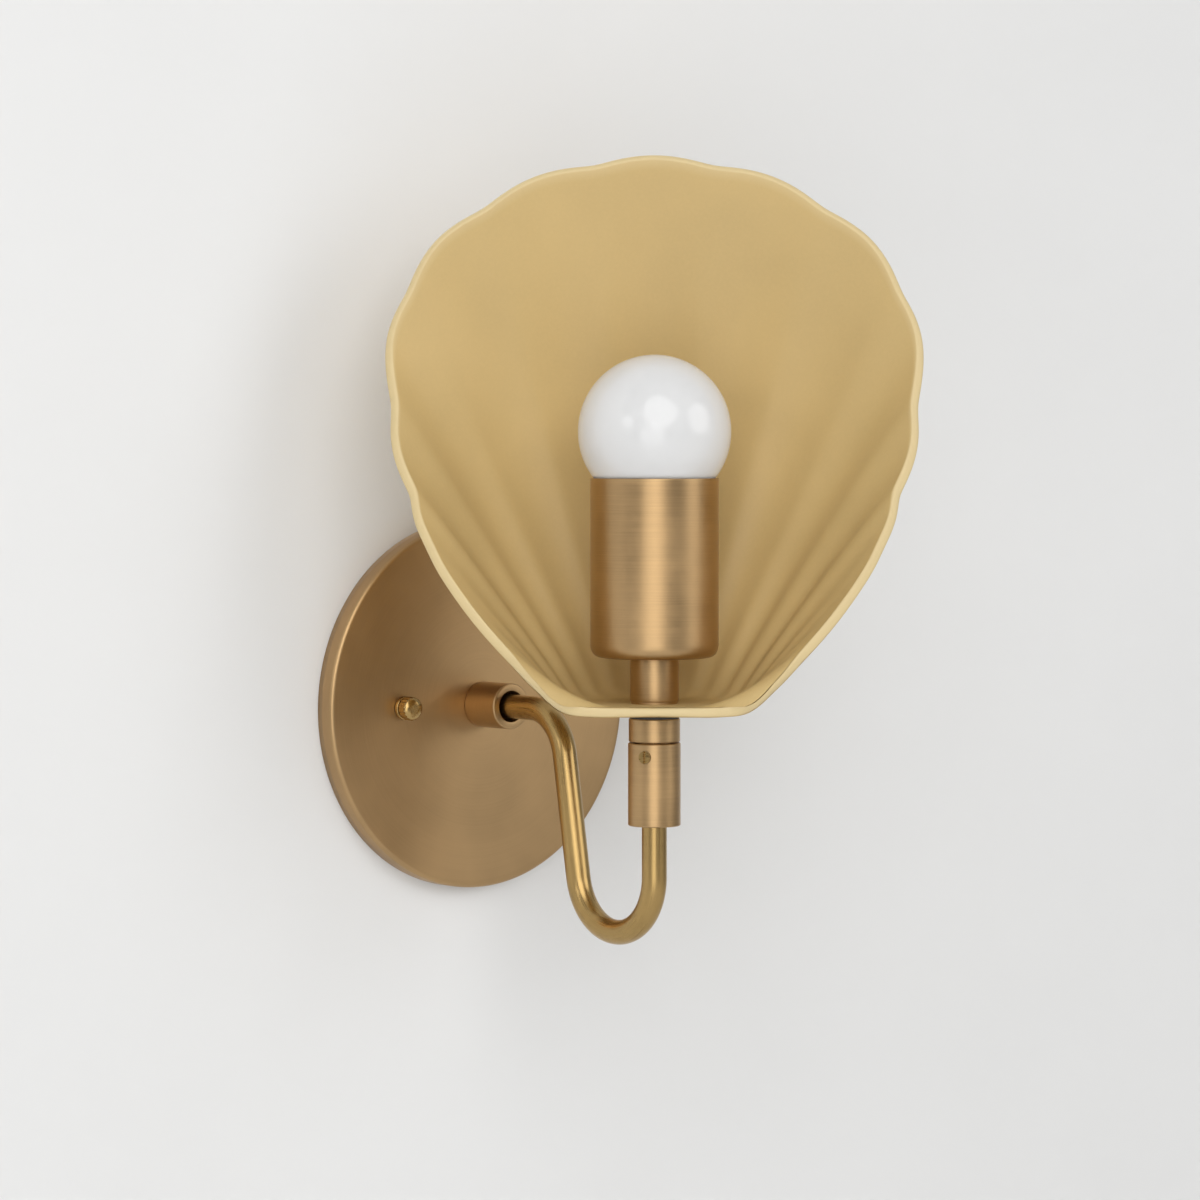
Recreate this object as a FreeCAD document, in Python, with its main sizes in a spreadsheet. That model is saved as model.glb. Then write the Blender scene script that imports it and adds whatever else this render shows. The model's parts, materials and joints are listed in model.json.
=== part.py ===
import FreeCAD, Part
import Sketcher
import math
import os

# Shell wall sconce. Millimetres. The wall is the plane y = 0, the light stands out
# towards -y, +z is up. The origin is the centre of the round canopy, on the wall.

doc = FreeCAD.newDocument("shell_sconce")
V = FreeCAD.Vector
CHIP_COUNT = 6

# ---------------------------------------------------------------- driving sizes
SIZES = {
    # canopy and what holds it to the wall
    "canopy_radius": 63.5, "canopy_depth": 7.5, "canopy_crown": 0.8, "canopy_wall": 1.2,
    "canopy_round": 1.5, "stud_offset": 33.5, "stud_radius": 2.05, "stud_hole_gap": 0.25,
    "stud_proud": 5.2, "bar_half_length": 55.0, "bar_half_width": 9.0, "bar_thick": 1.6,
    "slot_offset": 44.45, "slot_radius": 2.5, "slot_half_run": 4.5,
    "ground_offset": 20.0, "ground_radius": 1.9, "ground_head_radius": 3.2,
    "ground_head_height": 1.6,
    # cap nuts
    "nut_radius": 4.05, "nut_length": 6.2, "nut_neck_radius": 3.3, "nut_flange": 1.3,
    "nut_groove": 0.7, "nut_dome": 1.6, "nut_bore_depth": 5.4, "thread_gap": 0.05,
    # threaded tubes, hex locknuts and washers
    "nipple_radius": 4.85, "nipple_bore": 3.4, "nipple_hole_gap": 0.35, "nipple_tail": 0.9,
    "locknut_half_flats": 7.1, "locknut_blank_radius": 7.75, "locknut_height": 3.0,
    "washer_radius": 6.9, "washer_thick": 0.8, "crown_relief": 0.02,
    # arm
    "reach": 100.0, "tube_radius": 4.1, "tube_wall": 0.9, "arm_run": 35.7,
    "wall_bend_radius": 18.0, "u_bend_radius": 19.8, "u_drop": 52.2, "fit_gap": 0.05,
    "wall_collar_radius": 7.85, "wall_collar_length": 16.3, "wall_collar_bore": 5.3,
    "wall_collar_bore_depth": 6.5, "wall_tube_seat": 3.0, "wall_collar_bevel": 0.5,
    # swivel
    "collar_radius": 8.6, "collar_bottom": 35.1, "collar_seat": 11.0, "ring_radius": 8.4,
    "ring_height": 7.7, "swivel_gap": 0.3, "spigot_radius": 6.2, "spigot_length": 12.0,
    "groove_depth": 0.9, "groove_half_height": 2.4, "passage_radius": 3.2, "edge_break": 0.3,
    "spindle_floor": 2.2, "end_gap": 0.2, "set_screw_drop": 12.3, "set_screw_radius": 2.05,
    "set_screw_proud": 0.35, "set_screw_slot": 0.7, "set_screw_slot_depth": 0.8,
    "set_screw_angle": 208.5, "head_angle": -39.5,
    # stack above the swivel
    "gasket_radius": 8.1, "gasket_thick": 1.6, "shade_thick": 3.2,
    "shade_washer_radius": 7.6, "shade_washer_thick": 0.8,
    "neck_radius": 8.0, "neck_length": 14.2, "cup_radius": 20.95, "cup_height": 58.5,
    "cup_wall": 0.7, "cup_round": 4.0,
    # lampholder
    "strap_radius": 12.0, "strap_thick": 1.6, "holder_radius": 18.0, "holder_height": 38.0,
    "holder_floor": 8.0, "holder_bore": 14.4, "holder_recess": 5.0, "holder_bevel": 2.0,
    "holder_lip": 1.0, "shell_radius": 14.1, "shell_wall": 0.35, "shell_height": 26.0,
    "shell_lip": 4.0, "shell_flange": 5.0, "thread_pitch": 3.6, "thread_wave": 0.35,
    "terminal_radius": 3.0, "terminal_length": 3.6, "terminal_seat": 15.0,
    "terminal_drop": 4.0, "pocket_gap": 0.3,
    "leaf_width": 5.0, "leaf_thick": 0.5, "leaf_foot": 7.0, "leaf_heel": 6.5, "leaf_pad": 3.0,
    # bulb
    "bulb_radius": 25.0, "globe_rise": 30.0, "bulb_wall": 1.0, "bulb_neck_radius": 13.0,
    "bulb_neck_wall": 3.0, "tip_rise": 4.6, "tip_radius": 4.8, "tip_thick": 1.0,
    "insulator_radius": 9.5, "insulator_height": 3.0, "cap_radius": 13.1, "cap_wall": 0.5,
    "cap_length": 21.0, "cap_lip": 3.0, "board_radius": 10.5, "board_bore": 1.5,
    "board_thick": 1.0, "chip_ring": 6.5, "chip_size": 2.8, "chip_thick": 0.7,
    "driver_width": 18.0, "driver_thick": 1.2, "driver_height": 22.0, "driver_lift": 0.8,
    # leads
    "lead_radius": 1.15, "lead_offset": 1.25, "lead_end_gap": 0.5,
    # shell shade
    "rim_forward": 25.0, "rim_lean": 0.2376, "rim_centre": 60.0, "floor_radius": 30.0,
    "floor_front": 20.0, "back_bulge": 22.0, "flute_depth": 1.7, "corner_run": 7.0,
}

sheet = doc.addObject("Spreadsheet::Sheet", "Sizes")
for row, (alias, value) in enumerate(SIZES.items(), start=1):
    cell = "B%d" % row
    sheet.set("A%d" % row, alias)
    sheet.set(cell, str(value))
    sheet.setAlias(cell, alias)
doc.recompute()

parts = {}


def terms(text):
    """Split a sum such as 'cup_radius - cup_wall' into (sign, word) pairs."""
    sign = 1
    found = []
    for word in text.split():
        if word in "+-":
            sign = 1 if word == "+" else -1
        else:
            found.append((sign, word))
            sign = 1
    return found


def value_of(text):
    """The number that a sum of sheet aliases and plain numbers stands for."""
    total = 0.0
    for sign, word in terms(text):
        total += sign * (float(sheet.get(word)) if word in SIZES else float(word))
    return total


def less(text, taken):
    """The sum text with every term of taken taken away."""
    for sign, word in terms(taken):
        text += (" - " if sign > 0 else " + ") + word
    return text


def formula(text):
    """The same sum as an expression on the sheet."""
    out = ""
    for sign, word in terms(text):
        out += (" + " if sign > 0 else " - ") + ("Sizes." + word if word in SIZES else word)
    return "0" + out


# levels above the datum, the top of the swivel ring
FLOOR_UNDER = "gasket_thick"
FLOOR_TOP = FLOOR_UNDER + " + shade_thick"
NECK_BASE = FLOOR_TOP + " + shade_washer_thick"
CUP_BASE = NECK_BASE + " + neck_length"
CUP_FLOOR = CUP_BASE + " + cup_wall"
NUT_BASE = CUP_FLOOR + " + washer_thick"
STRAP_BASE = NUT_BASE + " + locknut_height"
HOLDER_BASE = STRAP_BASE + " + strap_thick"
HOLDER_FLOOR = HOLDER_BASE + " + holder_floor"
HOLDER_TOP = HOLDER_BASE + " + holder_height"
TIP_BASE = HOLDER_FLOOR + " + tip_rise"
INSULATOR_BASE = TIP_BASE + " + tip_thick"
CAP_BASE = INSULATOR_BASE + " + insulator_height"
CAP_TOP = CAP_BASE + " + cap_length"
BULB_CENTRE = CAP_TOP + " + globe_rise"
SPIGOT_BASE = "0 - ring_height - spigot_length"
NIPPLE_SEAT = "0 - ring_height + spindle_floor"
# canopy's inner face at its centre, measured out from the wall
FACE_IN = "canopy_depth + canopy_crown - canopy_wall - crown_relief"
FACE_OUT = "canopy_depth + canopy_crown"


def place_wall(obj, x="0", z="0"):
    """Turn a piece's own +z to the room, -y, and move it across the wall."""
    obj.Placement = FreeCAD.Placement(V(0, 0, 0), FreeCAD.Rotation(V(1, 0, 0), 90))
    obj.setExpression("Placement.Base.x", formula(x))
    obj.setExpression("Placement.Base.z", formula(z))


def place_stem(obj, turned=True):
    """Put a piece on the upright axis at the end of the arm, turned with the head."""
    angle = value_of("head_angle") if turned else 0.0
    obj.Placement = FreeCAD.Placement(V(0, 0, 0), FreeCAD.Rotation(V(0, 0, 1), angle))
    obj.setExpression("Placement.Base.y", formula("0 - reach"))


def finish(obj, label):
    obj.Label = label
    parts[label] = obj
    return obj


# ---------------------------------------------------------------- general makers
def origin_item(body, role):
    for item in body.Origin.OriginFeatures:
        if item.Role == role:
            return item
    raise ValueError(role)


def add_sketch(body, role="XZ_Plane"):
    sketch = body.newObject("Sketcher::SketchObject", "Sketch")
    sketch.AttachmentSupport = [(origin_item(body, role), "")]
    sketch.MapMode = "FlatFace"
    return sketch


def pin_point(sketch, geo, pos, x, y):
    """Hold a sketch point at x, y, each a sum of sheet sizes."""
    for kind, text in (("DistanceX", x), ("DistanceY", y)):
        value = value_of(text)
        if abs(value) < 1e-9 and text.strip() == "0":
            axis = -2 if kind == "DistanceX" else -1
            sketch.addConstraint(Sketcher.Constraint("PointOnObject", geo, pos, axis))
            continue
        index = sketch.addConstraint(Sketcher.Constraint(kind, -1, 1, geo, pos, value))
        sketch.setExpression("Constraints[%d]" % index, formula(text))


def outline(sketch, corners):
    """A closed outline of straight lines through corners, each a pair of sums."""
    points = [V(value_of(x), value_of(y), 0) for x, y in corners]
    count = len(points)
    first = sketch.GeometryCount
    for i in range(count):
        sketch.addGeometry(Part.LineSegment(points[i], points[(i + 1) % count]))
    for i in range(count):
        following = first + (i + 1) % count
        sketch.addConstraint(Sketcher.Constraint("Coincident", first + i, 2, following, 1))
        pin_point(sketch, first + i, 1, *corners[i])


def circle(sketch, x, y, radius):
    geo = sketch.addGeometry(Part.Circle(V(value_of(x), value_of(y), 0), V(0, 0, 1), value_of(radius)))
    pin_point(sketch, geo, 3, x, y)
    index = sketch.addConstraint(Sketcher.Constraint("Radius", geo, value_of(radius)))
    sketch.setExpression("Constraints[%d]" % index, formula(radius))
    return geo


def turned(label, corners, rounds=()):
    """A turned piece: an outline of (radius, height) corners spun about its own z axis.

    rounds holds (corner number, fillet radius) for circular edges to round."""
    body = doc.addObject("PartDesign::Body", label)
    sketch = add_sketch(body)
    outline(sketch, corners)
    spin = body.newObject("PartDesign::Revolution", "Spin")
    spin.Profile = sketch
    spin.ReferenceAxis = (sketch, ["V_Axis"])
    spin.Angle = 360
    doc.recompute()
    for corner, radius in rounds:
        fillet_ring(body, corners[corner], radius)
    return finish(body, label)


def fillet_ring(body, corner, radius):
    """Round the circular edge that a profile corner leaves."""
    base = body.Tip
    want_r, want_z = value_of(corner[0]), value_of(corner[1])
    names = []
    for number, edge in enumerate(base.Shape.Edges, start=1):
        if not isinstance(edge.Curve, Part.Circle):
            continue
        if abs(edge.Curve.Radius - want_r) < 1e-4 and abs(edge.Curve.Center.z - want_z) < 1e-4:
            names.append("Edge%d" % number)
    fillet = body.newObject("PartDesign::Fillet", "Round")
    fillet.Base = (base, names)
    fillet.setExpression("Radius", formula(radius))
    doc.recompute()


def tube(label, outer, inner, base, height):
    """A plain ring: one cylinder less another."""
    solid = doc.addObject("Part::Cylinder", label + "_outer")
    bore = doc.addObject("Part::Cylinder", label + "_bore")
    for item, radius in ((solid, outer), (bore, inner)):
        item.setExpression("Radius", formula(radius))
        item.setExpression("Height", formula(height))
        item.setExpression("Placement.Base.z", formula(base))
    ring = doc.addObject("Part::Cut", label)
    ring.Base = solid
    ring.Tool = bore
    return finish(ring, label)


def hex_nut(label, base):
    """A thin hexagon locknut on a threaded tube, its corners turned off."""
    prism = doc.addObject("Part::Prism", label + "_hex")
    prism.Polygon = 6
    prism.setExpression("Circumradius", "Sizes.locknut_half_flats / cos(30)")
    prism.setExpression("Height", formula("locknut_height"))
    blank = doc.addObject("Part::Cylinder", label + "_blank")
    blank.setExpression("Radius", formula("locknut_blank_radius"))
    blank.setExpression("Height", formula("locknut_height"))
    trimmed = doc.addObject("Part::MultiCommon", label + "_trimmed")
    trimmed.Shapes = [prism, blank]
    bore = doc.addObject("Part::Cylinder", label + "_bore")
    bore.setExpression("Radius", formula("nipple_radius + thread_gap"))
    bore.setExpression("Height", formula("locknut_height"))
    for item in (prism, blank, bore):
        item.setExpression("Placement.Base.z", formula(base))
    nut = doc.addObject("Part::Cut", label)
    nut.Base = trimmed
    nut.Tool = bore
    return finish(nut, label)


def group(label, shapes):
    """Several separate solids of one kind as one node."""
    node = doc.addObject("Part::Compound", label)
    node.Links = shapes
    return finish(node, label)


def cylinder(name, radius, height, x="0", y="0", z="0"):
    item = doc.addObject("Part::Cylinder", name)
    item.setExpression("Radius", formula(radius))
    item.setExpression("Height", formula(height))
    item.setExpression("Placement.Base.x", formula(x))
    item.setExpression("Placement.Base.y", formula(y))
    item.setExpression("Placement.Base.z", formula(z))
    return item


# ---------------------------------------------------------------- wall side
def make_crossbar():
    """Flat strap with a centre hole, two tapped stud holes, a ground hole and two slots."""
    body = doc.addObject("PartDesign::Body", "crossbar")
    half_l, half_w = "bar_half_length", "bar_half_width"
    sketch = add_sketch(body, "XY_Plane")
    outline(sketch, [("0 - " + half_l, "0 - " + half_w), (half_l, "0 - " + half_w),
                     (half_l, half_w), ("0 - " + half_l, half_w)])
    circle(sketch, "0", "0", "nipple_radius + nipple_hole_gap")
    for side in ("", "0 - "):
        circle(sketch, side + "stud_offset", "0", "stud_radius + thread_gap")
    circle(sketch, "ground_offset", "0", "ground_radius + thread_gap")
    pad = body.newObject("PartDesign::Pad", "Pad")
    pad.Profile = sketch
    pad.setExpression("Length", formula("bar_thick"))
    doc.recompute()
    for side in (1, -1):
        cut_slot(body, side)
    place_wall(finish(body, "crossbar"))


def cut_slot(body, side):
    """A round-ended slot for the screw of a wall box."""
    sketch = add_sketch(body, "XY_Plane")
    mid, run, rad = value_of("slot_offset"), value_of("slot_half_run"), value_of("slot_radius")
    low, high = side * mid - run, side * mid + run
    right = Part.ArcOfCircle(Part.Circle(V(high, 0, 0), V(0, 0, 1), rad), -math.pi / 2, math.pi / 2)
    left = Part.ArcOfCircle(Part.Circle(V(low, 0, 0), V(0, 0, 1), rad), math.pi / 2, 3 * math.pi / 2)
    sketch.addGeometry([right, Part.LineSegment(V(high, rad, 0), V(low, rad, 0)), left,
                        Part.LineSegment(V(low, -rad, 0), V(high, -rad, 0))])
    for one, end, two, start in ((0, 2, 1, 1), (1, 2, 2, 1), (2, 2, 3, 1), (3, 2, 0, 1)):
        sketch.addConstraint(Sketcher.Constraint("Tangent", one, end, two, start))
    sign = "" if side > 0 else "0 - "
    pin_point(sketch, 0, 3, sign + "slot_offset + slot_half_run", "0")
    pin_point(sketch, 2, 3, sign + "slot_offset - slot_half_run", "0")
    index = sketch.addConstraint(Sketcher.Constraint("Radius", 0, rad))
    sketch.setExpression("Constraints[%d]" % index, formula("slot_radius"))
    before = body.Shape.Volume
    pocket = body.newObject("PartDesign::Pocket", "Slot")
    pocket.Profile = sketch
    pocket.Type = "ThroughAll"
    pocket.Reversed = True
    doc.recompute()
    if body.Shape.Volume > before - 1:
        raise ValueError("slot cut nothing")


def make_studs():
    """Two headless machine screws, set in the crossbar and standing out through the canopy."""
    screws = []
    for number, sign in enumerate(("", "0 - ")):
        screws.append(cylinder("stud_%d" % number, "stud_radius", FACE_OUT + " + stud_proud",
                               sign + "stud_offset"))
    place_wall(group("stud_screws", screws))


def make_ground_screw():
    shank = cylinder("ground_shank", "ground_radius", "bar_thick", "ground_offset")
    head = cylinder("ground_head", "ground_head_radius", "ground_head_height",
                    "ground_offset", "0", "bar_thick")
    screw = doc.addObject("Part::Fuse", "ground_screw")
    screw.Base = shank
    screw.Tool = head
    place_wall(finish(screw, "ground_screw"))


def make_canopy():
    """Spun dish: straight rim, rounded edge, slightly crowned face, three holes."""
    body = doc.addObject("PartDesign::Body", "canopy")
    sketch = add_sketch(body)
    radius, depth = value_of("canopy_radius"), value_of("canopy_depth")
    crown, wall = value_of("canopy_crown"), value_of("canopy_wall")
    hole = value_of("nipple_radius + nipple_hole_gap")
    dish_profile(sketch, radius, depth, crown, wall, hole)
    spin = body.newObject("PartDesign::Revolution", "Spin")
    spin.Profile = sketch
    spin.ReferenceAxis = (sketch, ["V_Axis"])
    spin.Angle = 360
    doc.recompute()
    holes = add_sketch(body, "XY_Plane")
    for side in ("", "0 - "):
        circle(holes, side + "stud_offset", "0", "stud_radius + stud_hole_gap")
    pocket = body.newObject("PartDesign::Pocket", "StudHoles")
    pocket.Profile = holes
    pocket.Type = "ThroughAll"
    pocket.Reversed = True
    before = body.Shape.Volume
    doc.recompute()
    if body.Shape.Volume > before - 1:
        raise ValueError("stud holes cut nothing")
    place_wall(finish(body, "canopy"))


def dish_profile(sketch, radius, depth, crown, wall, hole):
    """Half section of the dish: outer side, rounded edge, crowned face, and the same inside.

    The arcs come from the sheet's sizes each time the macro runs, and are then locked."""

    def face(edge_r, edge_z, mid_z):
        """Radius and centre height of the circle through the crown and the face's edge."""
        rise = mid_z - edge_z
        big = (edge_r * edge_r + rise * rise) / (2 * rise)
        return big, mid_z - big

    def on_face(circle_of, r):
        big, low = circle_of
        return V(r, low + math.sqrt(big * big - r * r), 0)

    def on_round(centre_r, centre_z, size):
        return V(centre_r + size * math.sqrt(0.5), centre_z + size * math.sqrt(0.5), 0)

    edge = value_of("canopy_round")
    inner_edge = max(edge - wall, value_of("edge_break"))
    flat, flat_in = radius - edge, radius - wall - inner_edge
    outer = face(flat, depth, depth + crown)
    inner = face(flat_in, depth - wall, depth + crown - wall)
    side_top, side_top_in = depth - edge, depth - wall - inner_edge
    middle = (radius + hole) / 2
    sketch.addGeometry([
        Part.LineSegment(V(radius, 0, 0), V(radius, side_top, 0)),
        Part.Arc(V(radius, side_top, 0), on_round(flat, side_top, edge), on_face(outer, flat)),
        Part.Arc(on_face(outer, flat), on_face(outer, middle), on_face(outer, hole)),
        Part.LineSegment(on_face(outer, hole), on_face(inner, hole)),
        Part.Arc(on_face(inner, hole), on_face(inner, middle), on_face(inner, flat_in)),
        Part.Arc(on_face(inner, flat_in), on_round(flat_in, side_top_in, inner_edge),
                 V(radius - wall, side_top_in, 0)),
        Part.LineSegment(V(radius - wall, side_top_in, 0), V(radius - wall, 0, 0)),
        Part.LineSegment(V(radius - wall, 0, 0), V(radius, 0, 0)),
    ])
    for geo in range(sketch.GeometryCount):
        sketch.addConstraint(Sketcher.Constraint("Block", geo))


def make_cap_nut(label, sign):
    """Thumb nut: flange, groove, barrel and domed end, with a blind bore inside."""
    bore = "stud_radius + thread_gap"
    dome = "nut_length - nut_dome"
    nut = turned(label, [
        (bore, "0"), ("nut_radius", "0"), ("nut_radius", "nut_flange"),
        ("nut_neck_radius", "nut_flange"), ("nut_neck_radius", "nut_flange + nut_groove"),
        ("nut_radius", "nut_flange + nut_groove"), ("nut_radius", dome),
        ("nut_radius - nut_dome", "nut_length"), ("0", "nut_length"),
        ("0", "nut_bore_depth"), (bore, "nut_bore_depth")])
    place_wall(nut, sign + "stud_offset")
    nut.setExpression("Placement.Base.y", formula(less("0", FACE_OUT)))


def make_wall_fixing():
    """Threaded tube, washer and locknut that clamp the arm's collar to the canopy."""
    rear = FACE_IN + " - washer_thick - locknut_height - nipple_tail"
    front = FACE_OUT + " + wall_collar_length - wall_collar_bore_depth - wall_tube_seat"
    place_wall(tube("wall_nipple", "nipple_radius", "nipple_bore", rear, less(front, rear)))
    place_wall(tube("wall_lock_washer", "washer_radius", "nipple_radius + nipple_hole_gap",
                    FACE_IN + " - washer_thick", "washer_thick"))
    place_wall(hex_nut("wall_locknut", FACE_IN + " - washer_thick - locknut_height"))


def make_wall_collar():
    """Collar on the canopy: thread at the back, tube seat, open bore and bevel in front."""
    base = FACE_OUT
    front = base + " + wall_collar_length"
    mouth = front + " - wall_collar_bore_depth"
    seat = mouth + " - wall_tube_seat"
    place_wall(turned("wall_collar", [
        ("nipple_radius + thread_gap", base), ("wall_collar_radius", base),
        ("wall_collar_radius", front + " - wall_collar_bevel"),
        ("wall_collar_radius - wall_collar_bevel", front),
        ("wall_collar_bore + wall_collar_bevel", front),
        ("wall_collar_bore", front + " - wall_collar_bevel"), ("wall_collar_bore", mouth),
        ("tube_radius + fit_gap", mouth), ("tube_radius + fit_gap", seat),
        ("nipple_radius + thread_gap", seat)]))


# ---------------------------------------------------------------- arm and leads
def arm_route(start, end):
    """Middle line of the arm in (y, z): out, down, round a U and up.

    The sloping leg is the crossing tangent of the wall bend and the U."""
    reach, run = value_of("reach"), value_of("arm_run")
    r_wall, r_u, drop = value_of("wall_bend_radius"), value_of("u_bend_radius"), value_of("u_drop")
    wall_c = V(-run, -r_wall, 0)
    u_c = V(-reach + r_u, -drop, 0)
    across = u_c - wall_c
    down = math.atan2(-across.y, -across.x)
    slope = down + math.asin((r_wall + r_u) / across.Length)
    side = V(math.sin(slope), -math.cos(slope), 0)
    leg_top = wall_c - side * r_wall
    leg_low = u_c + side * r_u
    half = slope / 2
    wall_mid = wall_c + V(-math.sin(half), math.cos(half), 0) * r_wall
    turn = math.pi - (math.pi / 2 - slope)
    middle = math.atan2(side.y, side.x) - turn / 2
    u_mid = u_c + V(math.cos(middle), math.sin(middle), 0) * r_u
    return [
        Part.LineSegment(V(-start, 0, 0), V(-run, 0, 0)),
        Part.Arc(V(-run, 0, 0), wall_mid, leg_top),
        Part.LineSegment(leg_top, leg_low),
        Part.Arc(leg_low, u_mid, V(-reach, -drop, 0)),
        Part.LineSegment(V(-reach, -drop, 0), V(-reach, -end, 0)),
    ]


def swept(label, start, end, rings):
    """A body that follows the arm's route: rings are (x offset, radius) circles."""
    body = doc.addObject("PartDesign::Body", label)
    route = add_sketch(body, "YZ_Plane")
    runs = arm_route(value_of(start), value_of(end))
    route.addGeometry(runs)
    # a sketch keeps every arc anticlockwise, so the U starts at its room-side end
    for one, end_one, two, end_two in ((0, 2, 1, 1), (1, 2, 2, 1), (2, 2, 3, 2), (3, 1, 4, 1)):
        route.addConstraint(Sketcher.Constraint("Tangent", one, end_one, two, end_two))
    route.addConstraint(Sketcher.Constraint("Horizontal", 0))
    route.addConstraint(Sketcher.Constraint("Vertical", 4))
    pin_point(route, 0, 1, less("0", start), "0")
    for geo, pos, kind, text in ((1, 1, "DistanceX", "0 - arm_run"),
                                 (4, 1, "DistanceX", "0 - reach"),
                                 (4, 1, "DistanceY", "0 - u_drop"),
                                 (4, 2, "DistanceY", less("0", end))):
        index = route.addConstraint(Sketcher.Constraint(kind, -1, 1, geo, pos, value_of(text)))
        route.setExpression("Constraints[%d]" % index, formula(text))
    for geo, text in ((1, "wall_bend_radius"), (3, "u_bend_radius")):
        index = route.addConstraint(Sketcher.Constraint("Radius", geo, value_of(text)))
        route.setExpression("Constraints[%d]" % index, formula(text))
    section = add_sketch(body, "XZ_Plane")
    section.setExpression("AttachmentOffset.Base.z", formula(start))
    for offset, radius in rings:
        circle(section, offset, "0", radius)
    pipe = body.newObject("PartDesign::AdditivePipe", "Pipe")
    pipe.Profile = section
    pipe.Spine = (route, [])
    doc.recompute()
    length = sum(run.length() for run in runs)
    areas = [math.pi * value_of(radius) ** 2 for _, radius in rings]
    area = areas[0] - sum(areas[1:])
    print(label, "volume / (section x length) =", round(body.Shape.Volume / (area * length), 5))
    return finish(body, label)


def make_arm():
    start = FACE_OUT + " + wall_collar_length - wall_collar_bore_depth - wall_tube_seat + fit_gap"
    end = "collar_bottom - collar_seat"
    swept("arm_tube", start, end, [("0", "tube_radius"), ("0", "tube_radius - tube_wall")])
    for name, side in (("lead_live_lower", ""), ("lead_neutral_lower", "0 - ")):
        swept(name, "bar_thick", "ring_height + spigot_length + lead_end_gap",
              [(side + "lead_offset", "lead_radius")])


# ---------------------------------------------------------------- swivel
def make_swivel_collar():
    """Lower swivel collar: bearing bore above, lead passage, seat for the arm below."""
    top = "0 - ring_height - swivel_gap"
    bottom = "0 - collar_bottom"
    bore_end = SPIGOT_BASE + " - lead_end_gap - lead_end_gap"
    seat = bottom + " + collar_seat + fit_gap"
    collar = turned("swivel_collar_blank", [
        ("tube_radius + fit_gap", bottom), ("collar_radius - edge_break", bottom),
        ("collar_radius", bottom + " + edge_break"), ("collar_radius", top + " - edge_break"),
        ("collar_radius - edge_break", top), ("spigot_radius + fit_gap", top),
        ("spigot_radius + fit_gap", bore_end), ("passage_radius", bore_end),
        ("passage_radius", seat), ("tube_radius + fit_gap", seat)])
    del parts["swivel_collar_blank"]
    drill = cylinder("set_screw_drill", "set_screw_radius + fit_gap", "collar_radius + 2")
    turn = FreeCAD.Rotation(V(0, 0, 1), value_of("set_screw_angle"))
    drill.Placement = FreeCAD.Placement(V(0, 0, -value_of("set_screw_drop")),
                                        turn.multiply(FreeCAD.Rotation(V(0, 1, 0), 90)))
    for axis in ("x", "y", "z"):
        drill.setExpression("Placement.Base." + axis, None)
    drill.setExpression("Placement.Base.z", formula("0 - set_screw_drop"))
    cut = doc.addObject("Part::Cut", "swivel_collar")
    cut.Base = collar
    cut.Tool = drill
    place_stem(finish(cut, "swivel_collar"), turned=False)


def make_set_screw():
    """Slotted set screw whose tip runs in the spindle's groove."""
    tip = "spigot_radius - groove_depth + fit_gap + fit_gap"
    out = "collar_radius + set_screw_proud"
    shank = cylinder("set_shank", "set_screw_radius", less(out, tip), "0", "0", tip)
    slot = doc.addObject("Part::Box", "set_slot")
    slot.setExpression("Length", formula("set_screw_radius + set_screw_radius + 2"))
    slot.setExpression("Width", formula("set_screw_slot"))
    slot.setExpression("Height", formula("set_screw_slot_depth + 1"))
    slot.setExpression("Placement.Base.x", formula("0 - set_screw_radius - 1"))
    slot.setExpression("Placement.Base.y", "-Sizes.set_screw_slot / 2")
    slot.setExpression("Placement.Base.z", formula(out + " - set_screw_slot_depth"))
    screw = doc.addObject("Part::Cut", "set_screw")
    screw.Base = shank
    screw.Tool = slot
    turn = FreeCAD.Rotation(V(0, 0, 1), value_of("set_screw_angle"))
    screw.Placement = FreeCAD.Placement(V(0, 0, 0), turn.multiply(FreeCAD.Rotation(V(0, 1, 0), 90)))
    screw.setExpression("Placement.Base.y", formula("0 - reach"))
    screw.setExpression("Placement.Base.z", formula("0 - set_screw_drop"))
    finish(screw, "set_screw")


def make_spindle():
    """Upper swivel ring with the grooved spigot that turns in the collar."""
    mid = "0 - set_screw_drop"
    low = "0 - ring_height"
    neck = "spigot_radius - groove_depth"
    thread = "nipple_radius + thread_gap"
    place_stem(turned("swivel_spindle", [
        ("nipple_bore", SPIGOT_BASE), ("spigot_radius", SPIGOT_BASE),
        ("spigot_radius", mid + " - groove_half_height"), (neck, mid + " - groove_half_height"),
        (neck, mid + " + groove_half_height"), ("spigot_radius", mid + " + groove_half_height"),
        ("spigot_radius", low), ("ring_radius - edge_break", low),
        ("ring_radius", low + " + edge_break"), ("ring_radius", "0 - edge_break"),
        ("ring_radius - edge_break", "0"), (thread, "0"), (thread, NIPPLE_SEAT),
        ("nipple_bore", NIPPLE_SEAT)]))


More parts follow.
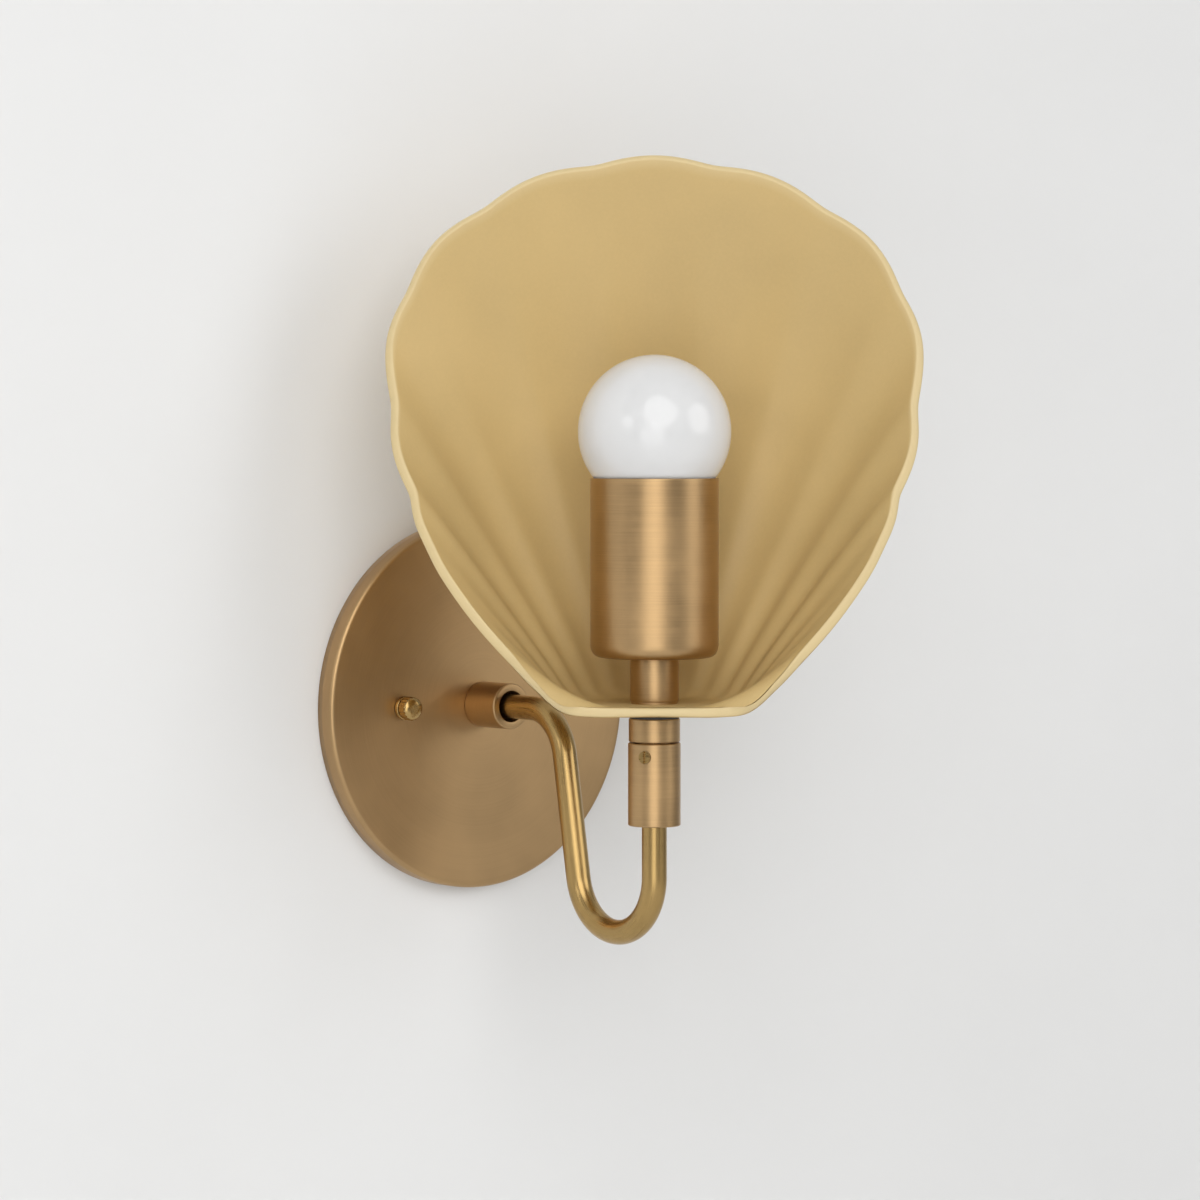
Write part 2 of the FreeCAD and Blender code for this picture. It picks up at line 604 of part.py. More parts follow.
# ---------------------------------------------------------------- head
def make_head_stack():
    """Gasket, washer, neck, nipple and cup fixing, stacked on the spindle."""
    hole = "nipple_radius + nipple_hole_gap"
    place_stem(tube("shade_gasket", "gasket_radius", hole, "0", "gasket_thick"))
    place_stem(tube("shade_washer", "shade_washer_radius", hole, FLOOR_TOP, "shade_washer_thick"))
    place_stem(turned("neck_spacer", [
        (hole, NECK_BASE), ("neck_radius - edge_break", NECK_BASE),
        ("neck_radius", NECK_BASE + " + edge_break"), ("neck_radius", CUP_BASE + " - edge_break"),
        ("neck_radius - edge_break", CUP_BASE), (hole, CUP_BASE)]))
    foot = NIPPLE_SEAT + " + end_gap"
    place_stem(tube("head_nipple", "nipple_radius", "nipple_bore", foot, less(HOLDER_BASE, foot)))
    place_stem(tube("cup_lock_washer", "washer_radius", hole, CUP_FLOOR, "washer_thick"))
    place_stem(hex_nut("cup_locknut", NUT_BASE))


def make_cup():
    """Drawn socket cup: flat bottom, rounded bottom edge, open top."""
    top = CUP_BASE + " + cup_height"
    place_stem(turned("socket_cup", [
        ("nipple_radius + nipple_hole_gap", CUP_BASE), ("cup_radius", CUP_BASE),
        ("cup_radius", top), ("cup_radius - cup_wall", top),
        ("cup_radius - cup_wall", CUP_FLOOR), ("nipple_radius + nipple_hole_gap", CUP_FLOOR)],
        rounds=((1, "cup_round"), (4, "cup_round - cup_wall"))))


def make_lampholder():
    """Strap, insulating body, threaded shell, centre contact and terminal screws."""
    place_stem(tube("lampholder_strap", "strap_radius", "nipple_radius + thread_gap",
                    STRAP_BASE, "strap_thick"))
    ceiling = HOLDER_BASE + " + holder_recess"
    body = turned("lampholder_blank", [
        ("nipple_bore", HOLDER_BASE), ("holder_radius - holder_bevel", HOLDER_BASE),
        ("holder_radius", HOLDER_BASE + " + holder_bevel"),
        ("holder_radius", HOLDER_TOP + " - holder_lip"), ("holder_radius - holder_lip", HOLDER_TOP),
        ("holder_bore", HOLDER_TOP), ("holder_bore", HOLDER_FLOOR), ("0", HOLDER_FLOOR),
        ("0", ceiling), ("nipple_bore", ceiling)])
    del parts["lampholder_blank"]
    heads = []
    pockets = []
    for number, angle in enumerate((0, 180)):
        for store, name, radius, length in (
                (heads, "terminal_screw", "terminal_radius", "terminal_length"),
                (pockets, "terminal_pocket", "terminal_radius + pocket_gap", "holder_radius")):
            across = FreeCAD.Rotation(V(0, 0, 1), angle).multiply(FreeCAD.Rotation(V(0, 1, 0), 90))
            item = doc.addObject("Part::Cylinder", "%s_%d" % (name, number))
            item.setExpression("Radius", formula(radius))
            item.setExpression("Height", formula(length))
            item.Placement = FreeCAD.Placement(V(0, 0, 0), across)
            side = "" if angle == 0 else "0 - "
            item.setExpression("Placement.Base.x", formula(side + "terminal_seat"))
            item.setExpression("Placement.Base.z", formula(HOLDER_FLOOR + " - terminal_drop"))
            store.append(item)
    both = doc.addObject("Part::MultiFuse", "terminal_pockets")
    both.Shapes = pockets
    holder = doc.addObject("Part::Cut", "lampholder_body")
    holder.Base = body
    holder.Tool = both
    place_stem(finish(holder, "lampholder_body"))
    place_stem(group("terminal_screws", heads))
    make_screw_shell()
    make_contact()


def ringed_profile(crest, base, top, depth):
    """Corners of a rolled thread: a row of shallow V rings between two levels."""
    pitch = value_of("thread_pitch")
    low, high = value_of(base), value_of(top)
    count = int((high - low) / pitch)
    corners = [(crest, base)]
    for ring in range(count):
        corners.append((crest, "%s + %s" % (base, (ring + 0.25) * pitch)))
        corners.append((crest + " - " + depth, "%s + %s" % (base, (ring + 0.75) * pitch)))
    corners.append((crest, "%s + %s" % (base, (count + 0.25) * pitch)))
    return corners


def make_screw_shell():
    """Rolled metal shell that the bulb screws into, on the holder's floor."""
    top = HOLDER_FLOOR + " + shell_height"
    outer = ringed_profile("shell_radius", HOLDER_FLOOR, top + " - shell_lip", "thread_wave")
    inner = [(r + " - shell_wall", z) for r, z in reversed(outer)]
    inner[-1] = (inner[-1][0], HOLDER_FLOOR + " + shell_wall")
    corners = outer + [("shell_radius", top), ("shell_radius - shell_wall", top)] + inner
    corners += [("shell_radius - shell_flange", HOLDER_FLOOR + " + shell_wall"),
                ("shell_radius - shell_flange", HOLDER_FLOOR)]
    place_stem(turned("screw_shell", corners))


def make_contact():
    """Spring leaf under the bulb's tip: a foot on the holder's floor, bent back up."""
    body = doc.addObject("PartDesign::Body", "centre_contact")
    sketch = add_sketch(body)
    lift = TIP_BASE + " - end_gap"
    outline(sketch, [
        ("0 - leaf_foot", HOLDER_FLOOR), ("leaf_heel - leaf_thick", HOLDER_FLOOR),
        ("leaf_heel", HOLDER_FLOOR + " + leaf_thick"), ("leaf_pad", lift),
        ("0 - leaf_pad", lift), ("0 - leaf_pad", lift + " - leaf_thick"),
        ("leaf_pad - leaf_thick", lift + " - leaf_thick"),
        ("leaf_heel - leaf_thick - leaf_thick", HOLDER_FLOOR + " + leaf_thick"),
        ("0 - leaf_foot", HOLDER_FLOOR + " + leaf_thick")])
    pad = body.newObject("PartDesign::Pad", "Leaf")
    pad.Profile = sketch
    pad.setExpression("Length", formula("leaf_width"))
    pad.Midplane = True
    doc.recompute()
    place_stem(finish(body, "centre_contact"))


def make_upper_leads():
    """Leads inside the turning head, from the swivel to the lampholder."""
    high = HOLDER_BASE + " + holder_recess - end_gap"
    for label, side in (("lead_live_upper", ""), ("lead_neutral_upper", "0 - ")):
        lead = cylinder(label, "lead_radius", less(high, SPIGOT_BASE))
        lead.setExpression("Placement.Base.x", formula(side + "lead_offset"))
        lead.setExpression("Placement.Base.y", formula("0 - reach"))
        lead.setExpression("Placement.Base.z", formula(SPIGOT_BASE))
        finish(lead, label)


# ---------------------------------------------------------------- bulb
def make_bulb():
    """Opal globe bulb on a screw cap: globe, collar, light board, driver, cap and contacts."""
    cut = math.sqrt(value_of("bulb_radius") ** 2 - value_of("bulb_neck_radius") ** 2)
    mouth = BULB_CENTRE + " - %.4f" % cut
    place_stem(hollow_ball("bulb_globe", mouth))
    neck_bore = "bulb_neck_radius - bulb_neck_wall"
    place_stem(turned("bulb_collar", [
        (neck_bore, CAP_TOP), ("bulb_neck_radius", CAP_TOP), ("bulb_neck_radius", mouth),
        (neck_bore, mouth)]))
    place_stem(tube("light_board", "board_radius", "board_bore", mouth, "board_thick"))
    make_chips(mouth + " + board_thick")
    driver = doc.addObject("Part::Box", "driver_board_blank")
    for side, size in (("Length", "driver_width"), ("Width", "driver_thick"),
                       ("Height", "driver_height")):
        driver.setExpression(side, formula(size))
    driver.setExpression("Placement.Base.x", "-Sizes.driver_width / 2")
    driver.setExpression("Placement.Base.y", "-Sizes.driver_thick / 2")
    driver.setExpression("Placement.Base.z", formula(CAP_BASE + " + driver_lift"))
    place_stem(group("driver_board", [driver]))
    cap = ringed_profile("cap_radius", CAP_BASE, CAP_TOP + " - cap_lip", "thread_wave")
    inside = [(r + " - cap_wall", z) for r, z in reversed(cap)]
    inside[-1] = (inside[-1][0], CAP_BASE + " + cap_wall")
    corners = cap + [("cap_radius", CAP_TOP), ("cap_radius - cap_wall", CAP_TOP)] + inside
    corners += [("insulator_radius - cap_wall", CAP_BASE + " + cap_wall"),
                ("insulator_radius - cap_wall", CAP_BASE)]
    place_stem(turned("bulb_screw_cap", corners))
    place_stem(turned("bulb_insulator", [
        ("0", INSULATOR_BASE), ("tip_radius + edge_break", INSULATOR_BASE),
        ("insulator_radius", CAP_BASE), ("0", CAP_BASE)]))
    place_stem(turned("bulb_tip_contact", [
        ("0", TIP_BASE), ("tip_radius - edge_break", TIP_BASE),
        ("tip_radius", TIP_BASE + " + edge_break"), ("tip_radius", INSULATOR_BASE),
        ("0", INSULATOR_BASE)]))


def make_chips(base):
    """Square light chips in a ring on their board."""
    chips = []
    for number in range(CHIP_COUNT):
        chip = doc.addObject("Part::Box", "chip_%d" % number)
        for side, size in (("Length", "chip_size"), ("Width", "chip_size"), ("Height", "chip_thick")):
            chip.setExpression(side, formula(size))
        angle = 360.0 * number / CHIP_COUNT
        middle = "Sizes.chip_ring * %s(%s) - Sizes.chip_size / 2"
        chip.setExpression("Placement.Base.x", middle % ("cos", angle))
        chip.setExpression("Placement.Base.y", middle % ("sin", angle))
        chip.setExpression("Placement.Base.z", formula(base))
        chips.append(chip)
    place_stem(group("light_chips", chips))


def hollow_ball(label, mouth):
    """Glass globe: a ball with an even wall, cut open at its mouth."""
    ball = doc.addObject("Part::Sphere", label + "_ball")
    ball.setExpression("Radius", formula("bulb_radius"))
    hollow = doc.addObject("Part::Sphere", label + "_hollow")
    hollow.setExpression("Radius", formula("bulb_radius - bulb_wall"))
    for item in (ball, hollow):
        item.setExpression("Placement.Base.z", formula(BULB_CENTRE))
    skin = doc.addObject("Part::Cut", label + "_skin")
    skin.Base = ball
    skin.Tool = hollow
    trim = cylinder(label + "_trim", "bulb_radius", "bulb_radius", "0", "0", mouth + " - bulb_radius")
    globe = doc.addObject("Part::Cut", label)
    globe.Base = skin
    globe.Tool = trim
    return finish(globe, label)


# ---------------------------------------------------------------- shade
# Crest line of the rim seen from the front: (angle from the top about the point
# rim_centre up the axis in degrees, distance from that point in mm).
RIM = [(0, 125.0), (19, 124.2), (35, 121.0), (45, 116.0), (53, 109.6), (61, 100.8),
       (67, 94.5), (84, 80.2), (102, 70.2), (115, 65.3), (129, 62.6), (141, 62.9),
       (152, 64.2), (160, 61.9), (170, 59.2), (180, 58.2)]
LOBES_ROUND = 22                 # lobes in a full turn; the front has no creases
LOBE_COLUMNS = 8                 # grid columns across one lobe
FLOOR_ROWS = (23.0, 14.0, 8.0, 4.5, 2.5, 1.2)    # distances short of the corner
CORNER_ROWS = 6
WALL_ROWS = 20
FLOOR_SHARE, CORNER_SHARE = 0.16, 0.32           # where the corner starts and ends


def rim_distance(angle):
    """Smooth curve through the rim's points: a Hermite curve with averaged slopes."""
    angle = abs(angle)
    count = len(RIM)
    i = 0
    while i < count - 2 and angle > RIM[i + 1][0]:
        i += 1

    def slope(j):
        if j in (0, count - 1):
            return 0.0
        return (RIM[j + 1][1] - RIM[j - 1][1]) / (RIM[j + 1][0] - RIM[j - 1][0])

    step = RIM[i + 1][0] - RIM[i][0]
    u = (angle - RIM[i][0]) / step
    return ((2 * u ** 3 - 3 * u ** 2 + 1) * RIM[i][1] + (u ** 3 - 2 * u ** 2 + u) * step * slope(i)
            + (3 * u ** 2 - 2 * u ** 3) * RIM[i + 1][1] + (u ** 3 - u ** 2) * step * slope(i + 1))


def smooth(share):
    """Ease from 0 to 1."""
    share = min(max(share, 0.0), 1.0)
    return share * share * (3 - 2 * share)


def flute(turn, height):
    """How far a lobe stands below its crest line: 0 on a crest, 1 in a crease.

    Low in the bowl the creases reach further round to the front than they do at the rim."""
    blunt = 0.03
    wave = math.cos(math.radians(turn) * LOBES_ROUND / 2)
    crest = (math.sqrt(wave * wave + blunt) - math.sqrt(blunt)) / (math.sqrt(1 + blunt) - math.sqrt(blunt))
    round_bowl = smooth((128.0 - abs(turn)) / 18.0) * (1 - 0.45 * smooth((abs(turn) - 80.0) / 20.0))
    round_rim = smooth((91.0 - abs(turn)) / 18.0)
    up = smooth((height - 0.45) / 0.45)
    return (1 - crest) * (round_bowl * (1 - up) + round_rim * up)


def plain_skin(turn, share):
    """Point of the unfluted outer surface: x right, y forward, z up from the datum.

    turn is the angle round the floor from the back; share runs from the centre hole,
    along the floor, round the corner and up the wall to the rim."""
    under = value_of(FLOOR_UNDER)
    b = math.radians(turn)
    a = b + math.radians(7.0 * math.sin(b) + 0.43 * math.sin(2 * b))
    distance = rim_distance(math.degrees(a))
    above = value_of("rim_centre") + distance * math.cos(a) - under
    rim = V(distance * math.sin(a), 0, under + 0.5 * (above + math.sqrt(above * above + 0.16)))
    rim.y = value_of("rim_forward") - value_of("rim_lean") * rim.z
    radius = value_of("floor_radius")
    if math.cos(b) < 0:
        front = value_of("floor_front") / max(-math.cos(b), 1e-6)
        radius = (radius ** -6 + front ** -6) ** (-1.0 / 6)
    base = V(radius * math.sin(b), -radius * math.cos(b), under)
    hole = value_of("nipple_radius + nipple_hole_gap")
    start = V(hole * math.sin(b), -hole * math.cos(b), under)
    bulge = value_of("back_bulge") * (1 + math.cos(min(1.2 * abs(a), math.pi))) / 2

    def wall(s):
        p = base + (rim - base) * s
        p.y -= bulge * math.sin(math.pi * s)
        return p

    run = value_of("corner_run")
    turn_in = base - (base - start) * (run / (base - start).Length)
    up = 1.0 / math.hypot(1 / 0.45, (rim - base).Length / run)
    if share <= FLOOR_SHARE:
        return start + (turn_in - start) * (share / FLOOR_SHARE)
    if share <= CORNER_SHARE:
        u = (share - FLOOR_SHARE) / (CORNER_SHARE - FLOOR_SHARE)
        return turn_in * (1 - u) ** 2 + base * (2 * u * (1 - u)) + wall(up) * u ** 2
    return wall(up + (1 - up) * (share - CORNER_SHARE) / (1 - CORNER_SHARE))


def inward(skin, turn, share):
    """Unit vector square to a skin, towards the inside of the shell."""
    step_turn, step_share = 0.3, 0.002
    low, high = max(share - step_share, 0.0), min(share + step_share, 1.0)
    across = skin(turn + step_turn, share) - skin(turn - step_turn, share)
    along = skin(turn, high) - skin(turn, low)
    normal = along.cross(across)
    normal.normalize()
    return normal


def shade_outer(turn, share):
    """The outer surface with its flutes, which deepen up the wall and stay in the rim's plane."""
    point = plain_skin(turn, share)
    height = (share - FLOOR_SHARE) / (1 - FLOOR_SHARE)
    depth = value_of("flute_depth") * flute(turn, height) * smooth(height / 0.3) * (0.55 + 0.45 * height)
    if depth <= 0:
        return point
    to_axis = V(-point.x, 0, value_of("rim_centre") - point.z)
    to_axis.normalize()
    at_rim = smooth((share - 0.7) / 0.3)
    push = inward(plain_skin, turn, share) * (1 - at_rim) + to_axis * at_rim
    push.normalize()
    return point + push * depth


def shade_inner(turn, share):
    """The same point moved in by the wall's thickness, square to the surface."""
    return shade_outer(turn, share) + inward(shade_outer, turn, share) * value_of("shade_thick")


def smooth_skin(grid):
    """Cubic surface pulled along a net of points, so it never swings past them."""
    degree = 3

    def knots(count):
        inside = count - degree - 1
        return [degree + 1] + [1] * inside + [degree + 1], [float(i) for i in range(inside + 2)]

    across_mults, across_knots = knots(len(grid))
    along_mults, along_knots = knots(len(grid[0]))
    skin = Part.BSplineSurface()
    skin.buildFromPolesMultsKnots(grid, across_mults, along_mults, across_knots, along_knots,
                                  False, False, degree, degree)
    return skin


def make_shade():
    """Fluted scallop shell: an outer and an inner skin, the rim band and the centre hole."""
    columns = LOBES_ROUND * LOBE_COLUMNS
    turns = [-180 + 360.0 * i / columns for i in range(columns)]
    rows = [FLOOR_SHARE * (1 - short / FLOOR_ROWS[0]) for short in FLOOR_ROWS]
    rows += [FLOOR_SHARE + (CORNER_SHARE - FLOOR_SHARE) * i / CORNER_ROWS for i in range(CORNER_ROWS)]
    rows += [CORNER_SHARE + (1 - CORNER_SHARE) * (i / WALL_ROWS) ** 1.5 for i in range(WALL_ROWS + 1)]
    faces = []
    for point in (shade_outer, shade_inner):
        grid = [[point(turn, share) for share in rows] for turn in turns]
        skin = smooth_skin(grid + grid[:1])
        low, high, first, last = skin.bounds()
        for i in range(4):
            faces.append(skin.toShape(low + (high - low) * i / 4, low + (high - low) * (i + 1) / 4,
                                      first, last))
    for outer, inner in zip(faces[:4], faces[4:]):
        for end in (0, 1):
            faces.append(Part.makeRuledSurface(end_edge(outer, end), end_edge(inner, end)))
    shell = Part.makeShell(faces)
    shell.sewShape()
    solid = Part.makeSolid(Part.Shell(shell.Faces))
    if solid.Volume < 0:
        solid.reverse()
    half_turn = FreeCAD.Matrix()
    half_turn.rotateZ(math.pi)
    shade = doc.addObject("Part::Feature", "shell_shade")
    shade.Shape = solid.transformed(half_turn, True)
    place_stem(finish(shade, "shell_shade"))


def end_edge(face, end):
    """The boundary edge of a skin panel at the hole (0) or at the rim (1)."""
    surface = face.Surface
    u_low, u_high, v_low, v_high = face.ParameterRange
    v = v_high if end else v_low
    middle = surface.value((u_low + u_high) / 2, v)
    best = min(face.Edges, key=lambda e: e.distToShape(Part.Vertex(middle))[0])
    return best


# ---------------------------------------------------------------- build and write
def build():
    make_crossbar()
    make_studs()
    make_ground_screw()
    make_canopy()
    make_cap_nut("cap_nut_left", "0 - ")
    make_cap_nut("cap_nut_right", "")
    make_wall_fixing()
    make_wall_collar()
    make_arm()
    make_swivel_collar()
    make_set_screw()
    make_spindle()
    make_head_stack()
    make_cup()
    make_lampholder()
    make_upper_leads()
    make_bulb()
    make_shade()
    doc.recompute()


def write():
    os.makedirs("parts", exist_ok=True)
    for obj in doc.Objects:
        if "Invalid" in obj.State or "Error" in obj.State:
            raise ValueError("%s failed: %s" % (obj.Label, obj.State))
    for label, obj in parts.items():
        shape = obj.Shape
        if shape.isNull() or not shape.isValid() or not shape.Solids:
            raise ValueError("%s has a bad shape" % label)
        if min(solid.Volume for solid in shape.Solids) <= 0:
            raise ValueError("%s is inside out" % label)
        shape.exportStep("parts/%s.step" % label)
        print(label, len(shape.Solids), round(shape.Volume, 2))


build()
write()
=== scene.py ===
"""Shell wall sconce: the visible pieces, their finishes, the stage and the camera. Metres."""
import json
import math

import bmesh
import bpy
import numpy as np
from bpy.props import FloatProperty, FloatVectorProperty, IntProperty, PointerProperty
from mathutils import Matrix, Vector


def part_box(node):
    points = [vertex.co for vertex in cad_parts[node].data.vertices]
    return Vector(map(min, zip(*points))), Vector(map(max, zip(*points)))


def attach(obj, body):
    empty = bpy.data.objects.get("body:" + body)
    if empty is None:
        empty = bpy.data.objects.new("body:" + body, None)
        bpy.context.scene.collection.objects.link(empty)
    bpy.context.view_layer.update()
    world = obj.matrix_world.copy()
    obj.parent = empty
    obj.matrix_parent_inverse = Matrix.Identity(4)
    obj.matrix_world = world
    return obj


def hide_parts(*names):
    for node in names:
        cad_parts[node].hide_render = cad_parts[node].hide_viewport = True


bl_info = {
    "name": "Shell Wall Sconce",
    "version": (1, 0, 0),
    "blender": (4, 5, 0),
    "location": "View3D > Sidebar > Sconce",
    "description": "Builds the visible pieces of a shell wall sconce round its packed frame",
    "category": "Object",
}

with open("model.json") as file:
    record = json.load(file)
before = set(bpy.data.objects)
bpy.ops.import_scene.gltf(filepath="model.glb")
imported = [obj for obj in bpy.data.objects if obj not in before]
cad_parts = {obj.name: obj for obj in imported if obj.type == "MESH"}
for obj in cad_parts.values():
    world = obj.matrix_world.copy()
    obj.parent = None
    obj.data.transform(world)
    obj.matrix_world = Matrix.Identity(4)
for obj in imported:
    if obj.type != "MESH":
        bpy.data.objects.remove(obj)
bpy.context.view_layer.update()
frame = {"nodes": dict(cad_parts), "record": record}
MM = 0.001
STEM_X, STEM_Y = 0.0, -0.1             # upright axis of the head
HEAD_TURN = math.radians(-39.5)        # how far the head is turned at rest


def corner(node, side):
    """Lowest (0) or highest (1) corner of a node as a numpy array."""
    return np.array(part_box(node)[side])


def node_radius(node):
    """Radius of a round node: half its width in x, which its axis is square to."""
    return float(corner(node, 1)[0] - corner(node, 0)[0]) / 2


# ---------------------------------------------------------------- sizes and colours
class ShellSizes(bpy.types.PropertyGroup):
    """Sizes of the scallop shell that its formula needs besides the frame."""
    lobes: IntProperty(name="Lobes", description="Lobes in a full turn round the floor",
                       default=22, min=6, max=40)
    flute_depth: FloatProperty(name="Flute depth", unit="LENGTH", precision=5, default=1.6 * MM,
                               description="How far a crease stands in at the rim")
    crease_width: FloatProperty(name="Crease softness", default=0.06, min=0.001, max=1.0,
                                description="0 is a knife edge between lobes")
    wall: FloatProperty(name="Wall", description="Thickness of the shell's wall",
                        default=3.2 * MM, unit="LENGTH", precision=5)


class FinishColours(bpy.types.PropertyGroup):
    """Colours of the finishes."""
    shell: FloatVectorProperty(name="Shell", description="Satin tan glaze", subtype="COLOR",
                               size=3, min=0, max=1, default=(0.57, 0.41, 0.175))
    # Colour of a band along the shell's rim, paler than the rest of the shell
    rim: FloatVectorProperty(name="Shell rim", description="Paler glaze along the shell's rim",
                             subtype="COLOR", size=3, min=0, max=1, default=(0.64, 0.50, 0.26))
    brass: FloatVectorProperty(name="Brass", description="Oiled brushed brass of the fittings",
                               subtype="COLOR", size=3, min=0, max=1, default=(0.45, 0.295, 0.145))
    arm: FloatVectorProperty(name="Arm brass", description="Yellower brass of the bent arm",
                             subtype="COLOR", size=3, min=0, max=1, default=(0.42, 0.28, 0.11))
    bulb: FloatVectorProperty(name="Bulb", description="Opal white of the bulb", subtype="COLOR",
                              size=3, min=0, max=1, default=(0.70, 0.70, 0.70))
    wall: FloatVectorProperty(name="Backdrop", description="Plain pale wall and floor",
                              subtype="COLOR", size=3, min=0, max=1, default=(0.76, 0.76, 0.755))


class StageSizes(bpy.types.PropertyGroup):
    """Camera and lights."""
    lens: FloatProperty(name="Lens", description="Focal length in millimetres on a 36 mm sensor",
                        default=115.0)
    key_power: FloatProperty(name="Key light", default=17.0, unit="POWER",
                             description="Power of the large light beside the camera")
    fill_power: FloatProperty(name="Fill light", default=8.5, unit="POWER",
                              description="Power of the light at the right")
    bowl_power: FloatProperty(name="Bowl light", default=5.0, unit="POWER",
                              description="Power of the low light into the shell")
    back_power: FloatProperty(name="Back light", default=9.0, unit="POWER",
                              description="Power of the light behind the wall")
    edge_power: FloatProperty(name="Edge light", default=1.6, unit="POWER",
                              description="Power of the small side light")
    world: FloatProperty(name="World", description="Strength of the even light from all round",
                         default=0.45)


# ---------------------------------------------------------------- meshes from grids
MERGE_DISTANCE = 1e-7                  # points nearer than this are one point


def grid_mesh(name, grid, flip=False):
    """Object from a grid of points (across, along, xyz) that is joined round both ways.

    UV runs 0 to 1 across and along. Points that meet at a pole are merged. flip turns the
    faces over, for a grid that would otherwise come out with its faces inwards."""
    across, along = grid.shape[:2]
    i, j = (part.ravel() for part in np.meshgrid(np.arange(across), np.arange(along),
                                                 indexing="ij"))
    i_next, j_next = (i + 1) % across, (j + 1) % along
    quads = np.stack([i * along + j, i_next * along + j, i_next * along + j_next,
                      i * along + j_next], axis=1)
    u = np.stack([i, i + 1, i + 1, i], axis=1) / across
    v = np.stack([j, j, j + 1, j + 1], axis=1) / along
    if flip:
        quads, u, v = quads[:, ::-1], u[:, ::-1], v[:, ::-1]
    mesh = bpy.data.meshes.new(name)
    mesh.vertices.add(across * along)
    mesh.vertices.foreach_set("co", np.ascontiguousarray(grid, dtype=np.float32).ravel())
    mesh.loops.add(quads.size)
    mesh.loops.foreach_set("vertex_index", np.ascontiguousarray(quads, dtype=np.int32).ravel())
    mesh.polygons.add(len(quads))
    mesh.polygons.foreach_set("loop_start", np.arange(0, quads.size, 4, dtype=np.int32))
    mesh.update(calc_edges=True)
    uv = np.stack([u.ravel(), v.ravel()], axis=1).astype(np.float32)
    mesh.uv_layers.new(name="UVMap").data.foreach_set("uv", uv.ravel())
    work = bmesh.new()
    work.from_mesh(mesh)
    bmesh.ops.remove_doubles(work, verts=work.verts, dist=MERGE_DISTANCE)
    work.to_mesh(mesh)
    work.free()
    mesh.shade_smooth()
    piece = bpy.data.objects.new(name, mesh)
    bpy.context.scene.collection.objects.link(piece)
    return piece


def rounded(corners, steps=5):
    """Closed profile from (radius, height, rounding) corners: each corner becomes an arc.

    The arc is a quadratic curve from one side to the other, so it meets both squarely."""
    points = np.array([c[:2] for c in corners], float)
    size = np.array([c[2] for c in corners], float)
    out = []
    for n in range(len(points)):
        here, before, after = points[n], points[n - 1], points[(n + 1) % len(points)]
        if size[n] <= 0:
            out.append(here[None])
            continue
        back, forth = before - here, after - here
        start = here + back * min(size[n] / np.linalg.norm(back), 0.5)
        end = here + forth * min(size[n] / np.linalg.norm(forth), 0.5)
        t = np.linspace(0, 1, steps)[:, None]
        out.append(start * (1 - t) ** 2 + here * 2 * t * (1 - t) + end * t ** 2)
    return np.concatenate(out)


def dense(profile, step):
    """The same closed profile with no run longer than step, so that shading stays even."""
    out = []
    for a, b in zip(profile, np.roll(profile, -1, axis=0)):
        count = max(int(np.ceil(np.linalg.norm(b - a) / step)), 1)
        out.append(a + (b - a) * (np.arange(count) / count)[:, None])
    return np.concatenate(out)


def spun(name, profile, sides, place):
    """A turned piece: the closed (radius, height) profile carried round its axis."""
    turn = np.linspace(0, 2 * math.pi, sides, endpoint=False)[:, None]
    grid = np.stack([profile[:, 0] * np.cos(turn), profile[:, 0] * np.sin(turn),
                     np.broadcast_to(profile[:, 1], (sides, len(profile)))], axis=-1)
    return grid_mesh(name, place(grid))


def on_stem(grid):
    """Stand a piece on the head's upright axis, heights in the frame's own z."""
    return grid + np.array([STEM_X, STEM_Y, 0.0])


def on_wall(x):
    """Turn a piece's axis to the room: local z becomes the distance out from the wall."""
    def place(grid):
        """Points moved from the piece's own axes to the room's."""
        return np.stack([grid[..., 0] + x, -grid[..., 2], grid[..., 1]], axis=-1)
    return place


def settle(piece, body, node, material):
    """Ride on a body in place of a node, with its finish."""
    piece.data.materials.append(material)
    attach(piece, body)
    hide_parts(node)


